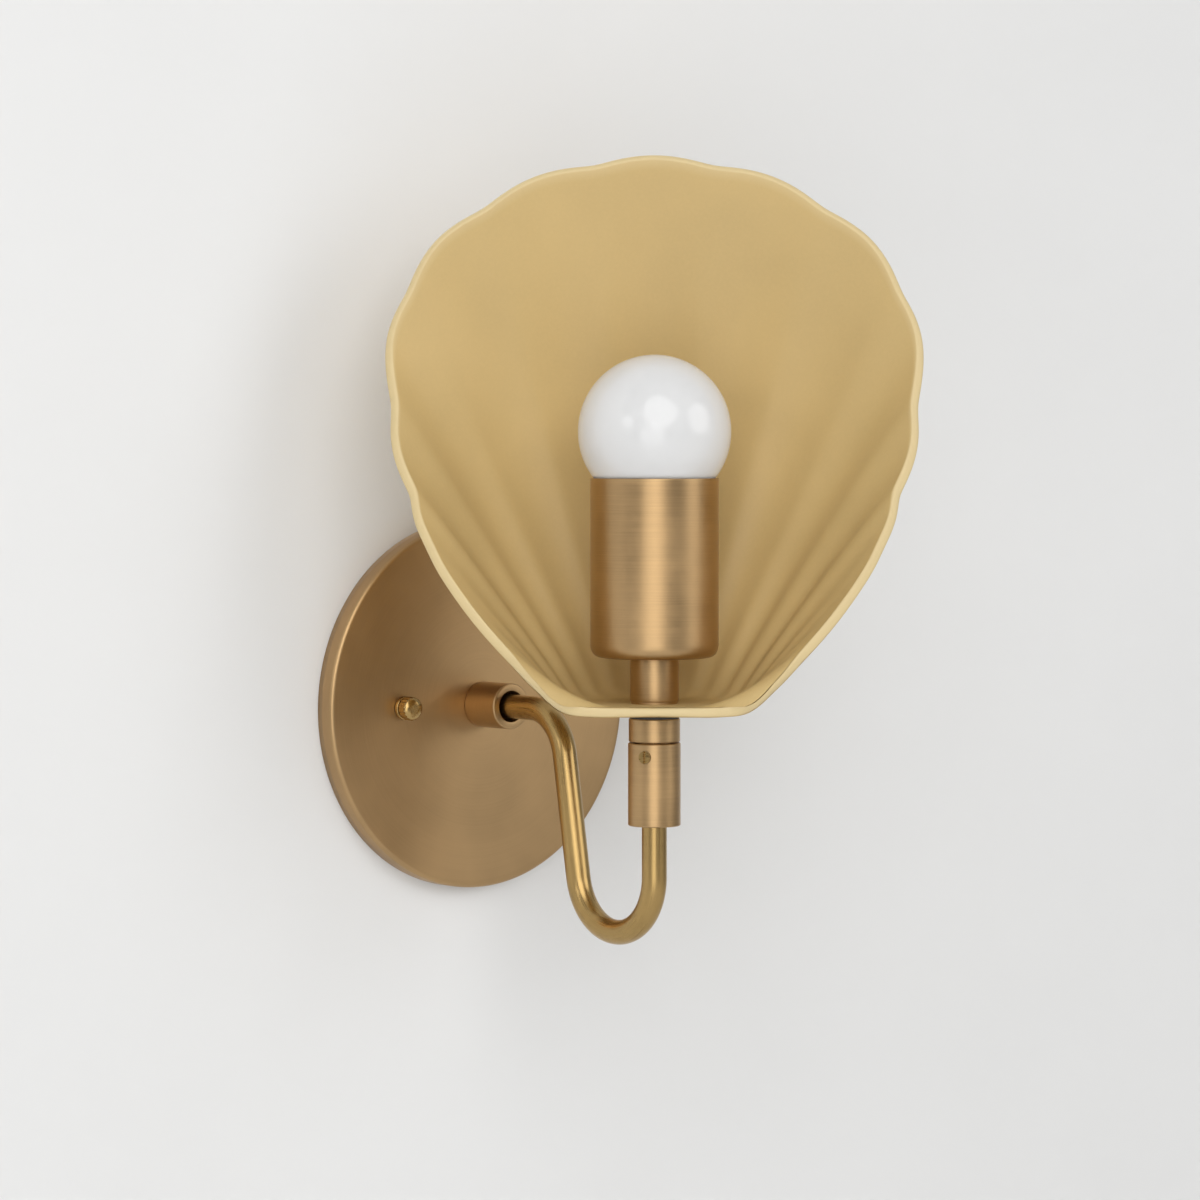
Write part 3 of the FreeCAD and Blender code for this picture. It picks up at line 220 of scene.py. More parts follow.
# ---------------------------------------------------------------- node helpers
class Nodes:
    """A material's tree with short ways to add and link nodes."""

    def __init__(self, name):
        self.material = bpy.data.materials.new(name)
        self.material.use_nodes = True
        self.tree = self.material.node_tree
        self.shader = self.tree.nodes["Principled BSDF"]

    def add(self, kind, inputs=None, **settings):
        """A new node with its settings and its inputs, each a value or a socket to link."""
        node = self.tree.nodes.new(kind)
        for key, value in settings.items():
            setattr(node, key, value)
        for key, value in (inputs or {}).items():
            if isinstance(value, bpy.types.NodeSocket):
                self.tree.links.new(value, node.inputs[key])
            else:
                node.inputs[key].default_value = value
        return node

    def link(self, source, target):
        """Link one socket to another."""
        self.tree.links.new(source, target)

    def set(self, **values):
        """Constants on the shader's own sockets, with _ for a space in a name."""
        for key, value in values.items():
            self.shader.inputs[key.replace("_", " ")].default_value = value

    def place(self, kind="Object", scale=(1, 1, 1), shift=(0, 0, 0)):
        """Object or UV coordinates through a Mapping node."""
        coords = self.add("ShaderNodeTexCoord")
        return self.add("ShaderNodeMapping", {"Vector": coords.outputs[kind], "Scale": scale,
                                              "Location": shift}).outputs["Vector"]

    def noise(self, vector, scale, detail=3.0, rough=0.5):
        """A noise pattern's value, 0 to 1."""
        return self.add("ShaderNodeTexNoise", {"Vector": vector, "Scale": scale, "Detail": detail,
                                               "Roughness": rough}).outputs["Fac"]

    def between(self, fac, low, high, out_low=0.0, out_high=1.0):
        """A value from low to high, mapped to out_low to out_high and clamped there."""
        node = self.add("ShaderNodeMapRange", {"Value": fac, "From Min": low, "From Max": high,
                                               "To Min": out_low, "To Max": out_high})
        return node.outputs["Result"]

    def blend(self, fac, one, two):
        """A mix of two colours, each a value or a socket."""
        node = self.add("ShaderNodeMix", data_type="RGBA")
        self.link(fac, node.inputs["Factor"])
        for socket, value in ((6, one), (7, two)):
            if isinstance(value, bpy.types.NodeSocket):
                self.link(value, node.inputs[socket])
            else:
                node.inputs[socket].default_value = (*value, 1.0)
        return node.outputs[2]

    def bump(self, height, strength, distance):
        """Fine relief on the shader's normal; distance is in metres."""
        node = self.add("ShaderNodeBump", {"Height": height, "Strength": strength,
                                           "Distance": distance})
        self.link(node.outputs["Normal"], self.shader.inputs["Normal"])


def tone(colour, factor):
    """A colour made lighter or darker by a factor."""
    return tuple(min(c * factor, 1.0) for c in colour)


# ---------------------------------------------------------------- finishes
EVEN, SPARSE = (0.3, 0.7), (0.35, 0.7)  # ranges of a noise's value that a change spreads over
RIM_ALONG = 0.5                        # where the shell's UV meets the middle of its rim
RIM_BAND = (0.022, 0.036)              # how far from there the paler colour holds, and where it ends


def glaze():
    """Satin tan glaze: soft mottling, a faint orange-peel skin and a soft gloss."""
    n = Nodes("shell_glaze")
    tan = tuple(bpy.context.scene.sconce_colours.shell)
    where = n.place()
    cloud = n.noise(where, scale=22.0, detail=4.0)
    fine = n.noise(where, scale=900.0, detail=2.0)
    base = n.blend(n.between(cloud, *EVEN), tone(tan, 0.95), tone(tan, 1.05))
    base = n.blend(n.between(fine, 0.35, 0.75, 0.0, 0.10), base, tone(tan, 1.25))
    along = n.add("ShaderNodeSeparateXYZ", {0: n.place("UV")}).outputs["Y"]
    off_rim = n.add("ShaderNodeMath", {0: along, 1: RIM_ALONG}, operation="SUBTRACT").outputs[0]
    off_rim = n.add("ShaderNodeMath", {0: off_rim}, operation="ABSOLUTE").outputs[0]
    # Paler colour laid along a band at the middle of the rim
    base = n.blend(n.between(off_rim, *RIM_BAND, 1.0, 0.0), base,
                   tuple(bpy.context.scene.sconce_colours.rim))
    n.link(base, n.shader.inputs["Base Color"])
    n.link(n.between(cloud, *EVEN, 0.46, 0.54), n.shader.inputs["Roughness"])
    n.set(Specular_IOR_Level=0.45)
    n.bump(fine, strength=0.12, distance=0.00015)
    return n.material


def brass(name, colour, grain, rough=0.36, depth=0.25):
    """Brushed and oiled brass; the oil gathers in slow, dark clouds.

    grain is the kind of coordinates, UV or Object, and the brush lines' scale on them."""
    n = Nodes(name)
    kind, scale = grain
    lines = n.noise(n.place(kind, scale), scale=1.0, detail=6.0, rough=0.65)
    cloud = n.noise(n.place(), scale=38.0, detail=4.0, rough=0.55)
    base = n.blend(n.between(cloud, *SPARSE), tone(colour, 0.84), tone(colour, 1.08))
    base = n.blend(n.between(lines, *SPARSE, 0.0, 0.5), base, tone(colour, 1.22))
    n.link(base, n.shader.inputs["Base Color"])
    mixed = n.add("ShaderNodeMath", {0: lines, 1: cloud}, operation="ADD").outputs[0]
    n.link(n.between(mixed, 0.7, 1.3, rough - 0.06, rough + 0.08), n.shader.inputs["Roughness"])
    n.set(Metallic=1.0)
    n.bump(lines, strength=depth, distance=0.0001)
    return n.material


def spun_brass(name, colour):
    """The canopy's brass: its brush lines run in rings round the middle of the plate."""
    n = Nodes(name)
    where = n.place("Object", (1, 0, 1))
    radius = n.add("ShaderNodeVectorMath", {0: where}, operation="LENGTH").outputs["Value"]
    ring = n.add("ShaderNodeCombineXYZ", {"X": radius}).outputs[0]
    drift = n.noise(n.place(), scale=30.0, detail=3.0)
    offset = n.add("ShaderNodeVectorMath", {0: ring, 1: n.place("Object", (0.02, 0.02, 0.02))},
                   operation="ADD").outputs["Vector"]
    lines = n.noise(offset, scale=2400.0, detail=5.0, rough=0.6)
    base = n.blend(n.between(drift, *EVEN), tone(colour, 0.88), tone(colour, 1.08))
    base = n.blend(n.between(lines, *SPARSE, 0.0, 0.2), base, tone(colour, 1.2))
    n.link(base, n.shader.inputs["Base Color"])
    n.link(n.between(drift, *EVEN, 0.37, 0.45), n.shader.inputs["Roughness"])
    n.set(Metallic=1.0)
    n.bump(lines, strength=0.07, distance=0.0001)
    return n.material


def plated(name, colour, rough, scratch=600.0):
    """Plated steel with fine scratches."""
    n = Nodes(name)
    marks = n.noise(n.place("Object", (1, 1, 4)), scale=scratch, detail=4.0)
    base = n.blend(n.between(marks, *SPARSE), tone(colour, 0.85), tone(colour, 1.1))
    n.link(base, n.shader.inputs["Base Color"])
    n.link(n.between(marks, *EVEN, rough - 0.05, rough + 0.1), n.shader.inputs["Roughness"])
    n.set(Metallic=1.0)
    n.bump(marks, strength=0.12, distance=0.0001)
    return n.material


def moulded(name, colour, rough, scale=900.0, depth=0.08):
    """Plastic, rubber or glazed porcelain: a grain, slight colour drift and a soft gloss."""
    n = Nodes(name)
    grain = n.noise(n.place(), scale=scale, detail=3.0)
    drift = n.noise(n.place(), scale=40.0, detail=2.0)
    base = n.blend(n.between(drift, *EVEN), tone(colour, 0.93), tone(colour, 1.05))
    n.link(base, n.shader.inputs["Base Color"])
    n.link(n.between(grain, *EVEN, rough - 0.04, rough + 0.06), n.shader.inputs["Roughness"])
    n.bump(grain, strength=depth, distance=0.0001)
    return n.material


def opal():
    """Opal glass of the bulb: white, glossy outside, with light soaking a little way in."""
    n = Nodes("opal_glass")
    white = tuple(bpy.context.scene.sconce_colours.bulb)
    drift = n.noise(n.place(), scale=60.0, detail=2.0)
    base = n.blend(n.between(drift, *EVEN), tone(white, 0.985), tone(white, 1.01))
    n.link(base, n.shader.inputs["Base Color"])
    n.link(n.between(drift, *EVEN, 0.13, 0.17), n.shader.inputs["Roughness"])
    n.set(Specular_IOR_Level=0.55, Subsurface_Weight=0.25, Subsurface_Scale=0.004,
          Subsurface_Radius=(1.0, 1.0, 1.0))
    return n.material


# ---------------------------------------------------------------- the scallop shell
# Crest line of the rim seen from the front: (angle from the top about the point
# RIM_CENTRE up the axis in degrees, distance from that point in mm).
RIM = np.array([(0, 125.0), (19, 124.2), (35, 121.0), (45, 116.0), (53, 109.6), (61, 100.8),
                (67, 94.5), (84, 80.2), (102, 70.2), (115, 65.3), (129, 62.6), (141, 62.9),
                (152, 64.2), (160, 61.9), (170, 59.2), (180, 58.2)])
RIM_CENTRE = 60.0
RIM_FORWARD, RIM_LEAN = 25.0, 0.2376   # the rim's plane: forward = 25 - 0.2376 * height
RIM_LOW = 0.16                         # mm2, softens where the rim comes down to the floor
RIM_ROUND = 1.1                        # how far the rounded rim stands past the skins
# The floor, in mm: the height of its underside, its radius, and how far it reaches in front.
FLOOR_UNDER, FLOOR_RADIUS, FLOOR_FRONT = 1.6, 30.0, 20.0
FLOOR_POWER = 6.0                      # of the power mean that joins that radius and that front
SHELL_HOLE, CORNER_RUN = 5.2, 7.0      # radius of the nipple's hole, run of the floor's corner
CORNER_RISE = 0.45                     # most share of the wall that the corner takes up
BACK_BULGE, BULGE_SPREAD = 22.0, 1.2   # bow of the wall to the back, and how fast it fades round
# Lobes are spread unevenly: degrees added to the turn, by its sine and its double's sine.
SPREAD, SPREAD_TWICE = 7.0, 0.43
# Shares of the way from the hole to the rim at which the floor and its corner end.
FLOOR_SHARE, CORNER_SHARE = 0.16, 0.32
# Steps of the grid: round one lobe, then along the floor, its corner, the wall and the rim.
LOBE_STEPS, FLOOR_STEPS, CORNER_STEPS, WALL_STEPS, RIM_STEPS = 20, 8, 12, 46, 8

# How far round the flutes run, in degrees from the top. In the bowl they end at BOWL_END and at
# the rim at RIM_END, each over the last FLUTE_FADE; the bowl's lose FLANK_LOSS of their depth
# over FLANK_RUN from FLANK_START.
BOWL_END, RIM_END, FLUTE_FADE = 128, 91, 18
FLANK_START, FLANK_RUN, FLANK_LOSS = 70, 30, 0.65
# Heights, 0 at the floor and 1 at the rim: where bowl gives way to rim and over how much, by
# which the flutes have grown in, and the share of their depth that doesn't grow with height.
EDGE_START, EDGE_RUN, GROWN, LEAST_DEPTH = 0.45, 0.45, 0.3, 0.5
PUSH_START, PUSH_RUN = 0.7, 0.3        # shares over which the push turns into the rim's plane


def rim_distance(angle):
    """Hermite curve through the RIM points with averaged slopes, flat at both ends."""
    x, y = RIM[:, 0], RIM[:, 1]
    slope = np.zeros(len(x))
    slope[1:-1] = (y[2:] - y[:-2]) / (x[2:] - x[:-2])
    a = np.abs(angle)
    k = np.clip(np.searchsorted(x, a, side="right") - 1, 0, len(x) - 2)
    step = x[k + 1] - x[k]
    u = (a - x[k]) / step
    return ((2 * u ** 3 - 3 * u ** 2 + 1) * y[k] + (u ** 3 - 2 * u ** 2 + u) * step * slope[k]
            + (3 * u ** 2 - 2 * u ** 3) * y[k + 1] + (u ** 3 - u ** 2) * step * slope[k + 1])


def ease(share):
    """Smooth step from 0 to 1, level at both ends."""
    share = np.clip(share, 0, 1)
    return share * share * (3 - 2 * share)


def plain_skin(turn, share):
    """Unfluted outer surface in mm: x right, y forward, z up.

    From the centre hole a flat floor runs out to a rounded corner; from there a straight
    line, bowed to the back by a sine, rises to the rim's outline in its leaning plane."""
    b = np.radians(turn)
    a = b + np.radians(SPREAD * np.sin(b) + SPREAD_TWICE * np.sin(2 * b))
    reach = rim_distance(np.degrees(a))
    above = RIM_CENTRE + reach * np.cos(a) - FLOOR_UNDER
    rim_z = FLOOR_UNDER + 0.5 * (above + np.sqrt(above ** 2 + RIM_LOW))
    rim = np.stack([reach * np.sin(a), RIM_FORWARD - RIM_LEAN * rim_z, rim_z], axis=-1)
    front = FLOOR_FRONT / np.maximum(-np.cos(b), 1e-6)
    joined = (FLOOR_RADIUS ** -FLOOR_POWER + front ** -FLOOR_POWER) ** (-1 / FLOOR_POWER)
    radius = np.where(np.cos(b) < 0, joined, FLOOR_RADIUS)
    out = np.stack([np.sin(b), -np.cos(b), np.zeros_like(b)], axis=-1)
    level = np.array([0, 0, FLOOR_UNDER])
    base = out * radius[..., None] + level
    start = out * SHELL_HOLE + level
    bulge = BACK_BULGE * (1 + np.cos(np.minimum(BULGE_SPREAD * np.abs(a), math.pi))) / 2

    def wall(s):
        """Point at a share s of the way up the bowed line."""
        p = base + (rim - base) * s[..., None]
        p[..., 1] -= bulge * np.sin(math.pi * s)
        return p

    turn_in = base - out * CORNER_RUN
    up = 1 / np.hypot(1 / CORNER_RISE, np.linalg.norm(rim - base, axis=-1) / CORNER_RUN)
    floor = start + (turn_in - start) * (share / FLOOR_SHARE)[..., None]
    u = ((share - FLOOR_SHARE) / (CORNER_SHARE - FLOOR_SHARE))[..., None]
    bend = turn_in * (1 - u) ** 2 + base * 2 * u * (1 - u) + wall(up) * u ** 2
    rise = wall(up + (1 - up) * np.clip((share - CORNER_SHARE) / (1 - CORNER_SHARE), 0, 1))
    share = share[..., None]
    return np.where(share <= FLOOR_SHARE, floor, np.where(share <= CORNER_SHARE, bend, rise))


def inward(skin):
    """Unit vectors square to a grid of points, towards the inside of the shell."""
    across = np.roll(skin, -1, axis=0) - np.roll(skin, 1, axis=0)
    along = np.gradient(skin, axis=1)
    normal = np.cross(along, across)
    return normal / np.linalg.norm(normal, axis=-1, keepdims=True)


def shell_skins():
    """Outer and inner skins in mm as grids of (turn, share).

    The flutes are a softened |cosine| of the turn, pushed in along the surface's normal,
    and at the rim within its plane; the inner skin lies one wall inside the outer."""
    sizes = bpy.context.scene.sconce_shell
    turn = np.linspace(-180, 180, sizes.lobes * LOBE_STEPS, endpoint=False)
    share = np.concatenate([np.linspace(0, FLOOR_SHARE, FLOOR_STEPS, endpoint=False),
                            np.linspace(FLOOR_SHARE, CORNER_SHARE, CORNER_STEPS, endpoint=False),
                            np.linspace(CORNER_SHARE, 1, WALL_STEPS)])
    turn, share = np.meshgrid(turn, share, indexing="ij")
    skin = plain_skin(turn, share)
    soft = sizes.crease_width
    wave = np.cos(np.radians(turn) * sizes.lobes / 2)
    crest = ((np.sqrt(wave ** 2 + soft) - math.sqrt(soft))
             / (math.sqrt(1 + soft) - math.sqrt(soft)))
    height = (share - FLOOR_SHARE) / (1 - FLOOR_SHARE)
    flank = 1 - FLANK_LOSS * ease((np.abs(turn) - FLANK_START) / FLANK_RUN)
    reach = ease((BOWL_END - np.abs(turn)) / FLUTE_FADE) * flank
    at_edge = ease((height - EDGE_START) / EDGE_RUN)
    reach = reach * (1 - at_edge) + ease((RIM_END - np.abs(turn)) / FLUTE_FADE) * at_edge
    depth = (sizes.flute_depth / MM * (1 - crest) * reach * ease(height / GROWN)
             * (LEAST_DEPTH + (1 - LEAST_DEPTH) * np.clip(height, 0, 1)))
    to_axis = np.stack([-skin[..., 0], np.zeros_like(turn), RIM_CENTRE - skin[..., 2]], axis=-1)
    to_axis /= np.linalg.norm(to_axis, axis=-1, keepdims=True)
    at_rim = ease((share - PUSH_START) / PUSH_RUN)[..., None]
    push = inward(skin) * (1 - at_rim) + to_axis * at_rim
    outer = skin + push / np.linalg.norm(push, axis=-1, keepdims=True) * depth[..., None]
    return outer, outer + inward(outer) * (sizes.wall / MM)


def shell_grid():
    """The closed wall: out along the outer skin, round the rim and back along the inner.

    The rim is half an ellipse from skin to skin; the whole is then turned about the stem."""
    outer, inner = shell_skins()
    lift = outer[:, -1] - outer[:, -2]
    lift /= np.linalg.norm(lift, axis=-1, keepdims=True)
    outer[:, -1] -= lift * RIM_ROUND
    inner[:, -1] -= lift * RIM_ROUND
    middle, half = (outer[:, -1] + inner[:, -1]) / 2, (outer[:, -1] - inner[:, -1]) / 2
    sweep = np.linspace(0, math.pi, RIM_STEPS + 2)[1:-1]
    rim = (middle[:, None] + half[:, None] * np.cos(sweep)[:, None]
           + lift[:, None] * RIM_ROUND * np.sin(sweep)[:, None])
    loop = np.concatenate([outer, rim, inner[:, ::-1]], axis=1)
    c, s = math.cos(HEAD_TURN), math.sin(HEAD_TURN)
    x, y = loop[..., 0], -loop[..., 1]
    return np.stack([c * x - s * y + STEM_X / MM, s * x + c * y + STEM_Y / MM, loop[..., 2]],
                    axis=-1) * MM


class SCONCE_OT_shell(bpy.types.Operator):
    """Add the fluted scallop shell"""
    bl_idname = "sconce.shell"
    bl_label = "Scallop shell"

    def execute(self, context):
        piece = grid_mesh("scallop_shell", shell_grid(), flip=True)
        settle(piece, "head", "shell_shade", glaze())
        return {"FINISHED"}


# ---------------------------------------------------------------- turned brass pieces
# Heights run up the stem, or out from the wall for the canopy and its collar.
NIPPLE_HOLE = SHELL_HOLE * MM          # the other pieces on the threaded nipples have it too


def sleeve_profile(node, edge):
    """Rounded outline of a plain sleeve on the stem: its node's box gives radius and ends."""
    radius, base, top = node_radius(node), corner(node, 0)[2], corner(node, 1)[2]
    return rounded([(NIPPLE_HOLE, base, edge), (radius, base, edge), (radius, top, edge),
                    (NIPPLE_HOLE, top, edge)])


class SCONCE_OT_canopy(bpy.types.Operator):
    """Add the spun wall canopy with its soft rim"""
    bl_idname = "sconce.canopy"
    bl_label = "Canopy"

    def execute(self, context):
        radius, depth = node_radius("canopy"), -float(corner("canopy", 0)[1])
        crown, wall, hole = 0.8 * MM, 1.2 * MM, NIPPLE_HOLE
        edge, chamfer = 1.6 * MM, 0.5 * MM     # of the rim outside and in
        face = (radius ** 2 + crown ** 2) / (2 * crown)     # radius of the crowned face

        def dome(r, drop):
            """Height of the crowned face at radius r, sunk by drop."""
            return depth - drop - (face - np.sqrt(face ** 2 - r ** 2))

        r_out = np.linspace(radius - edge, hole, 40)
        turn = np.linspace(0, math.pi / 2, 10)[:-1]
        centre = dome(radius - edge, 0) - edge
        bend = np.stack([radius - edge + edge * np.cos(turn), centre + edge * np.sin(turn)],
                        axis=-1)
        outer = np.concatenate([[[radius, 0.0], [radius, centre / 2]], bend,
                                np.stack([r_out, dome(r_out, 0)], axis=-1)])
        r_in = np.linspace(hole, radius - wall - chamfer, 30)
        inner = np.concatenate([np.stack([r_in, dome(r_in, wall)], axis=-1),
                                [[radius - wall, centre - wall / 2], [radius - wall, 0.0]]])
        piece = spun("canopy_plate", np.concatenate([outer, inner]), 192, on_wall(0.0))
        settle(piece, "bracket", "canopy",
               spun_brass("canopy_brass", tuple(context.scene.sconce_colours.brass)))
        return {"FINISHED"}


class SCONCE_OT_fittings(bpy.types.Operator):
    """Add the turned wall collar, neck sleeve and socket cup"""
    bl_idname = "sconce.fittings"
    bl_label = "Turned fittings"

    def execute(self, context):
        colour = tuple(context.scene.sconce_colours.brass)
        turned = brass("turned_brass", colour, ("UV", (3.0, 160.0, 1.0)))
        soft = 0.35 * MM
        low, high = corner("wall_collar", 0), corner("wall_collar", 1)
        radius, back, front = (high[0] - low[0]) / 2, -high[1], -low[1]
        bore, tube = 5.3 * MM, 4.15 * MM
        bottom = front - 6.5 * MM      # of the open bore in front
        shape = dense(rounded([
            (tube, back, 0), (radius, back, soft), (radius, front, 0.7 * MM),
            (bore, front, soft), (bore, bottom, 0), (tube, bottom, 0)]), 1.2 * MM)
        settle(spun("wall_collar_ring", shape, 96, on_wall(0.0)), "bracket", "wall_collar",
               turned)
        shape = dense(sleeve_profile("neck_spacer", soft), 1.2 * MM)
        settle(spun("neck_sleeve", shape, 96, on_stem), "head", "neck_spacer", turned)
        radius = node_radius("socket_cup")
        base, top = corner("socket_cup", 0)[2], corner("socket_cup", 1)[2]
        wall, bend = 0.7 * MM, 4.4 * MM
        shape = dense(rounded([
            (NIPPLE_HOLE, base, 0), (radius, base, bend), (radius, top, 0.3 * MM),
            (radius - wall, top, 0.3 * MM), (radius - wall, base + wall, bend - wall),
            (NIPPLE_HOLE, base + wall, 0)], steps=12), 1.5 * MM)
        settle(spun("cup_shell", shape, 160, on_stem), "head", "socket_cup",
               brass("cup_brass", colour, ("UV", (4.0, 420.0, 1.0))))
        return {"FINISHED"}


# ---------------------------------------------------------------- the arm
ARM_RADIUS, ARM_WALL = 4.1 * MM, 0.9 * MM
ARM_START, ARM_RUN = 15.15 * MM, 35.7 * MM     # from the wall to its start and its first bend
WALL_BEND, U_BEND = 18.0 * MM, 19.8 * MM       # radii of the first bend and the U
U_DROP, ARM_END = 52.2 * MM, 24.1 * MM         # down to the U's middle and the upright end


class SCONCE_OT_arm(bpy.types.Operator):
    """Add the bent arm tube"""
    bl_idname = "sconce.arm"
    bl_label = "Arm"

    def execute(self, context):
        piece = grid_mesh("arm_pipe", tube_grid(arm_route(), ARM_RADIUS, ARM_WALL))
        colour = tuple(context.scene.sconce_colours.arm)
        settle(piece, "bracket", "arm_tube",
               brass("arm_brass", colour, ("UV", (90.0, 5.0, 1.0)), rough=0.29, depth=0.15))
        return {"FINISHED"}


def arm_route():
    """Middle line of the arm in (y, z): out from the wall, a bend down, a sloping leg that is
    the crossing tangent of both bends, a U and the upright end."""
    wall_centre = np.array([-ARM_RUN, -WALL_BEND])
    u_centre = np.array([STEM_Y + U_BEND, -U_DROP])
    across = u_centre - wall_centre
    slope = (math.atan2(-across[1], -across[0])
             + math.asin((WALL_BEND + U_BEND) / np.linalg.norm(across)))
    down = np.linspace(0, slope, 40)
    bend = wall_centre + WALL_BEND * np.stack([-np.sin(down), np.cos(down)], axis=-1)
    round_u = np.linspace(math.pi / 2 - slope, math.pi, 70) * -1.0
    sweep = u_centre + U_BEND * np.stack([np.cos(round_u), np.sin(round_u)], axis=-1)
    out = np.linspace(ARM_START, ARM_RUN, 8, endpoint=False)
    straight = np.stack([-out, np.zeros_like(out)], axis=-1)
    t = np.linspace(0, 1, 16)[1:-1, None]
    leg = bend[-1] * (1 - t) + sweep[0] * t
    rise = -U_DROP + (U_DROP - ARM_END) * np.linspace(0, 1, 11)[1:]
    up = np.stack([np.full_like(rise, STEM_Y), rise], axis=-1)
    return np.concatenate([straight, bend, leg, sweep, up])


def tube_grid(route, radius, wall, sides=64):
    """Round tube along a flat (y, z) route: outside there, inside back, so it is closed."""
    ahead = np.gradient(route, axis=0)
    ahead /= np.linalg.norm(ahead, axis=1, keepdims=True)
    normal = np.stack([-ahead[:, 1], ahead[:, 0]], axis=-1)
    turn = np.linspace(0, 2 * math.pi, sides, endpoint=False)[:, None, None]
    skins = []
    for size, order in ((radius, 1), (radius - wall, -1)):
        yz = route + normal * size * np.cos(turn)
        x = np.broadcast_to(size * np.sin(turn), yz.shape[:2] + (1,))
        skins.append(np.concatenate([x, yz], axis=-1)[:, ::order])
    return np.concatenate(skins, axis=1)


# ---------------------------------------------------------------- small fasteners
KNURL_RIBS, KNURL_DEPTH, KNURL_SIDES = 18, 0.28 * MM, 216
BARREL = 0.93                          # share of the widest radius past which a point is barrel


def knurled(profile, ribs, depth, sides, span):
    """Grid of a turned piece whose barrel ripples between two heights.

    The radius is less by the depth times one minus the |sine| of half the ribs' turn."""
    turn = np.linspace(0, 2 * math.pi, sides, endpoint=False)[:, None]
    radius, height = profile[:, 0], profile[:, 1]
    inside = (height >= span[0]) & (height <= span[1]) & (radius > radius.max() * BARREL)
    ripple = depth * np.where(inside, 1.0, 0.0) * (np.abs(np.sin(turn * ribs / 2)) - 1)
    size = radius + ripple
    return np.stack([size * np.cos(turn), size * np.sin(turn),
                     np.broadcast_to(height, size.shape)], axis=-1)


class SCONCE_OT_nuts(bpy.types.Operator):
    """Add the two knurled cap nuts of the canopy"""
    bl_idname = "sconce.nuts"
    bl_label = "Cap nuts"

    def execute(self, context):
        finish = brass("nut_brass", tone(tuple(context.scene.sconce_colours.arm), 1.1),
                       ("Object", (900.0, 900.0, 900.0)), rough=0.26, depth=0.1)
        for side in ("left", "right"):
            node = "cap_nut_" + side
            low, high = corner(node, 0), corner(node, 1)
            middle, radius = (low[0] + high[0]) / 2, (high[0] - low[0]) / 2
            base, top = -high[1], -low[1]
            neck, bore, crown = radius - 0.75 * MM, 2.1 * MM, radius * 0.62
            flange, groove, dome = base + 1.3 * MM, base + 2.0 * MM, top - 1.2 * MM
            crisp, roof = 0.1 * MM, top - 0.8 * MM
            shape = dense(rounded([
                (bore, base, 0), (radius, base, 0.15 * MM), (radius, flange, 0.3 * MM),
                (neck, flange + crisp, crisp), (neck, groove, crisp),
                (radius, groove, 0.2 * MM), (radius, dome, 0.9 * MM), (crown, top, 1.2 * MM),
                (0.0, top, 0), (0.0, roof, 0), (bore, roof, 0)]), 0.25 * MM)
            grid = knurled(shape, KNURL_RIBS, KNURL_DEPTH, KNURL_SIDES, (groove, dome))
            settle(grid_mesh("cap_nut_%s_knurled" % side, on_wall(middle)(grid)),
                   "nut_" + side, node, finish)
        return {"FINISHED"}


# ---------------------------------------------------------------- bulb
class SCONCE_OT_bulb(bpy.types.Operator):
    """Add the opal globe of the bulb"""
    bl_idname = "sconce.bulb"
    bl_label = "Bulb"

    def execute(self, context):
        low, high = corner("bulb_globe", 0), corner("bulb_globe", 1)
        radius = (high[0] - low[0]) / 2
        centre, wall = high[2] - radius, 1.0 * MM
        drop = math.asin((centre - low[2]) / radius)
        angle = np.linspace(-drop, math.pi / 2, 70)
        outer = np.stack([radius * np.cos(angle), centre + radius * np.sin(angle)], axis=-1)
        size = radius - wall
        angle = np.linspace(math.pi / 2, -math.asin((centre - low[2]) / size), 50)
        inner = np.stack([size * np.cos(angle), centre + size * np.sin(angle)], axis=-1)
        settle(spun("bulb_opal_globe", np.concatenate([outer, inner]), 128, on_stem), "bulb",
               "bulb_globe", opal())
        return {"FINISHED"}


# ---------------------------------------------------------------- carried-over nodes
class SCONCE_OT_inner(bpy.types.Operator):
    """Give every carried-over piece of the frame its finish"""
    bl_idname = "sconce.inner"
    bl_label = "Inner pieces"

    def execute(self, context):
        colours = context.scene.sconce_colours
        finishes = {
            "aged_brass": brass("fitting_brass", tuple(colours.brass),
                                ("Object", (40.0, 40.0, 1600.0))),
            "bare_brass": brass("rolled_brass", (0.72, 0.52, 0.22),
                                ("Object", (60, 60, 900)), 0.24),
            "plated_steel": plated("zinc_steel", (0.60, 0.60, 0.58), 0.32),
            "dark_steel": plated("screw_brass", tone(tuple(colours.arm), 0.9), 0.30),
            "ground_green": plated("green_steel", (0.10, 0.34, 0.14), 0.35),
            "nickel": plated("nickel_plate", (0.70, 0.69, 0.66), 0.22),
            "black_glass": moulded("black_glass", (0.02, 0.02, 0.025), 0.12),
            "porcelain": moulded("porcelain", (0.82, 0.80, 0.75), 0.22, 500.0),
            "white_plastic": moulded("white_plastic", (0.80, 0.80, 0.78), 0.42),
            "circuit_green": moulded("circuit_board", (0.04, 0.20, 0.09), 0.35),
            "light_chip": moulded("light_chip", (0.85, 0.66, 0.12), 0.3),
            "rubber": moulded("gasket_rubber", (0.03, 0.03, 0.03), 0.6, 1200.0, 0.3),
            "lead_black": moulded("black_lead", (0.02, 0.02, 0.02), 0.4),
            "lead_white": moulded("white_lead", (0.80, 0.80, 0.77), 0.4),
        }
        wanted = {s["node"]: s["material_slot"] for s in frame["record"]["subparts"]}
        for node, piece in frame["nodes"].items():
            if wanted[node] in finishes:
                for slot in piece.material_slots:
                    slot.material = finishes[wanted[node]]
        return {"FINISHED"}


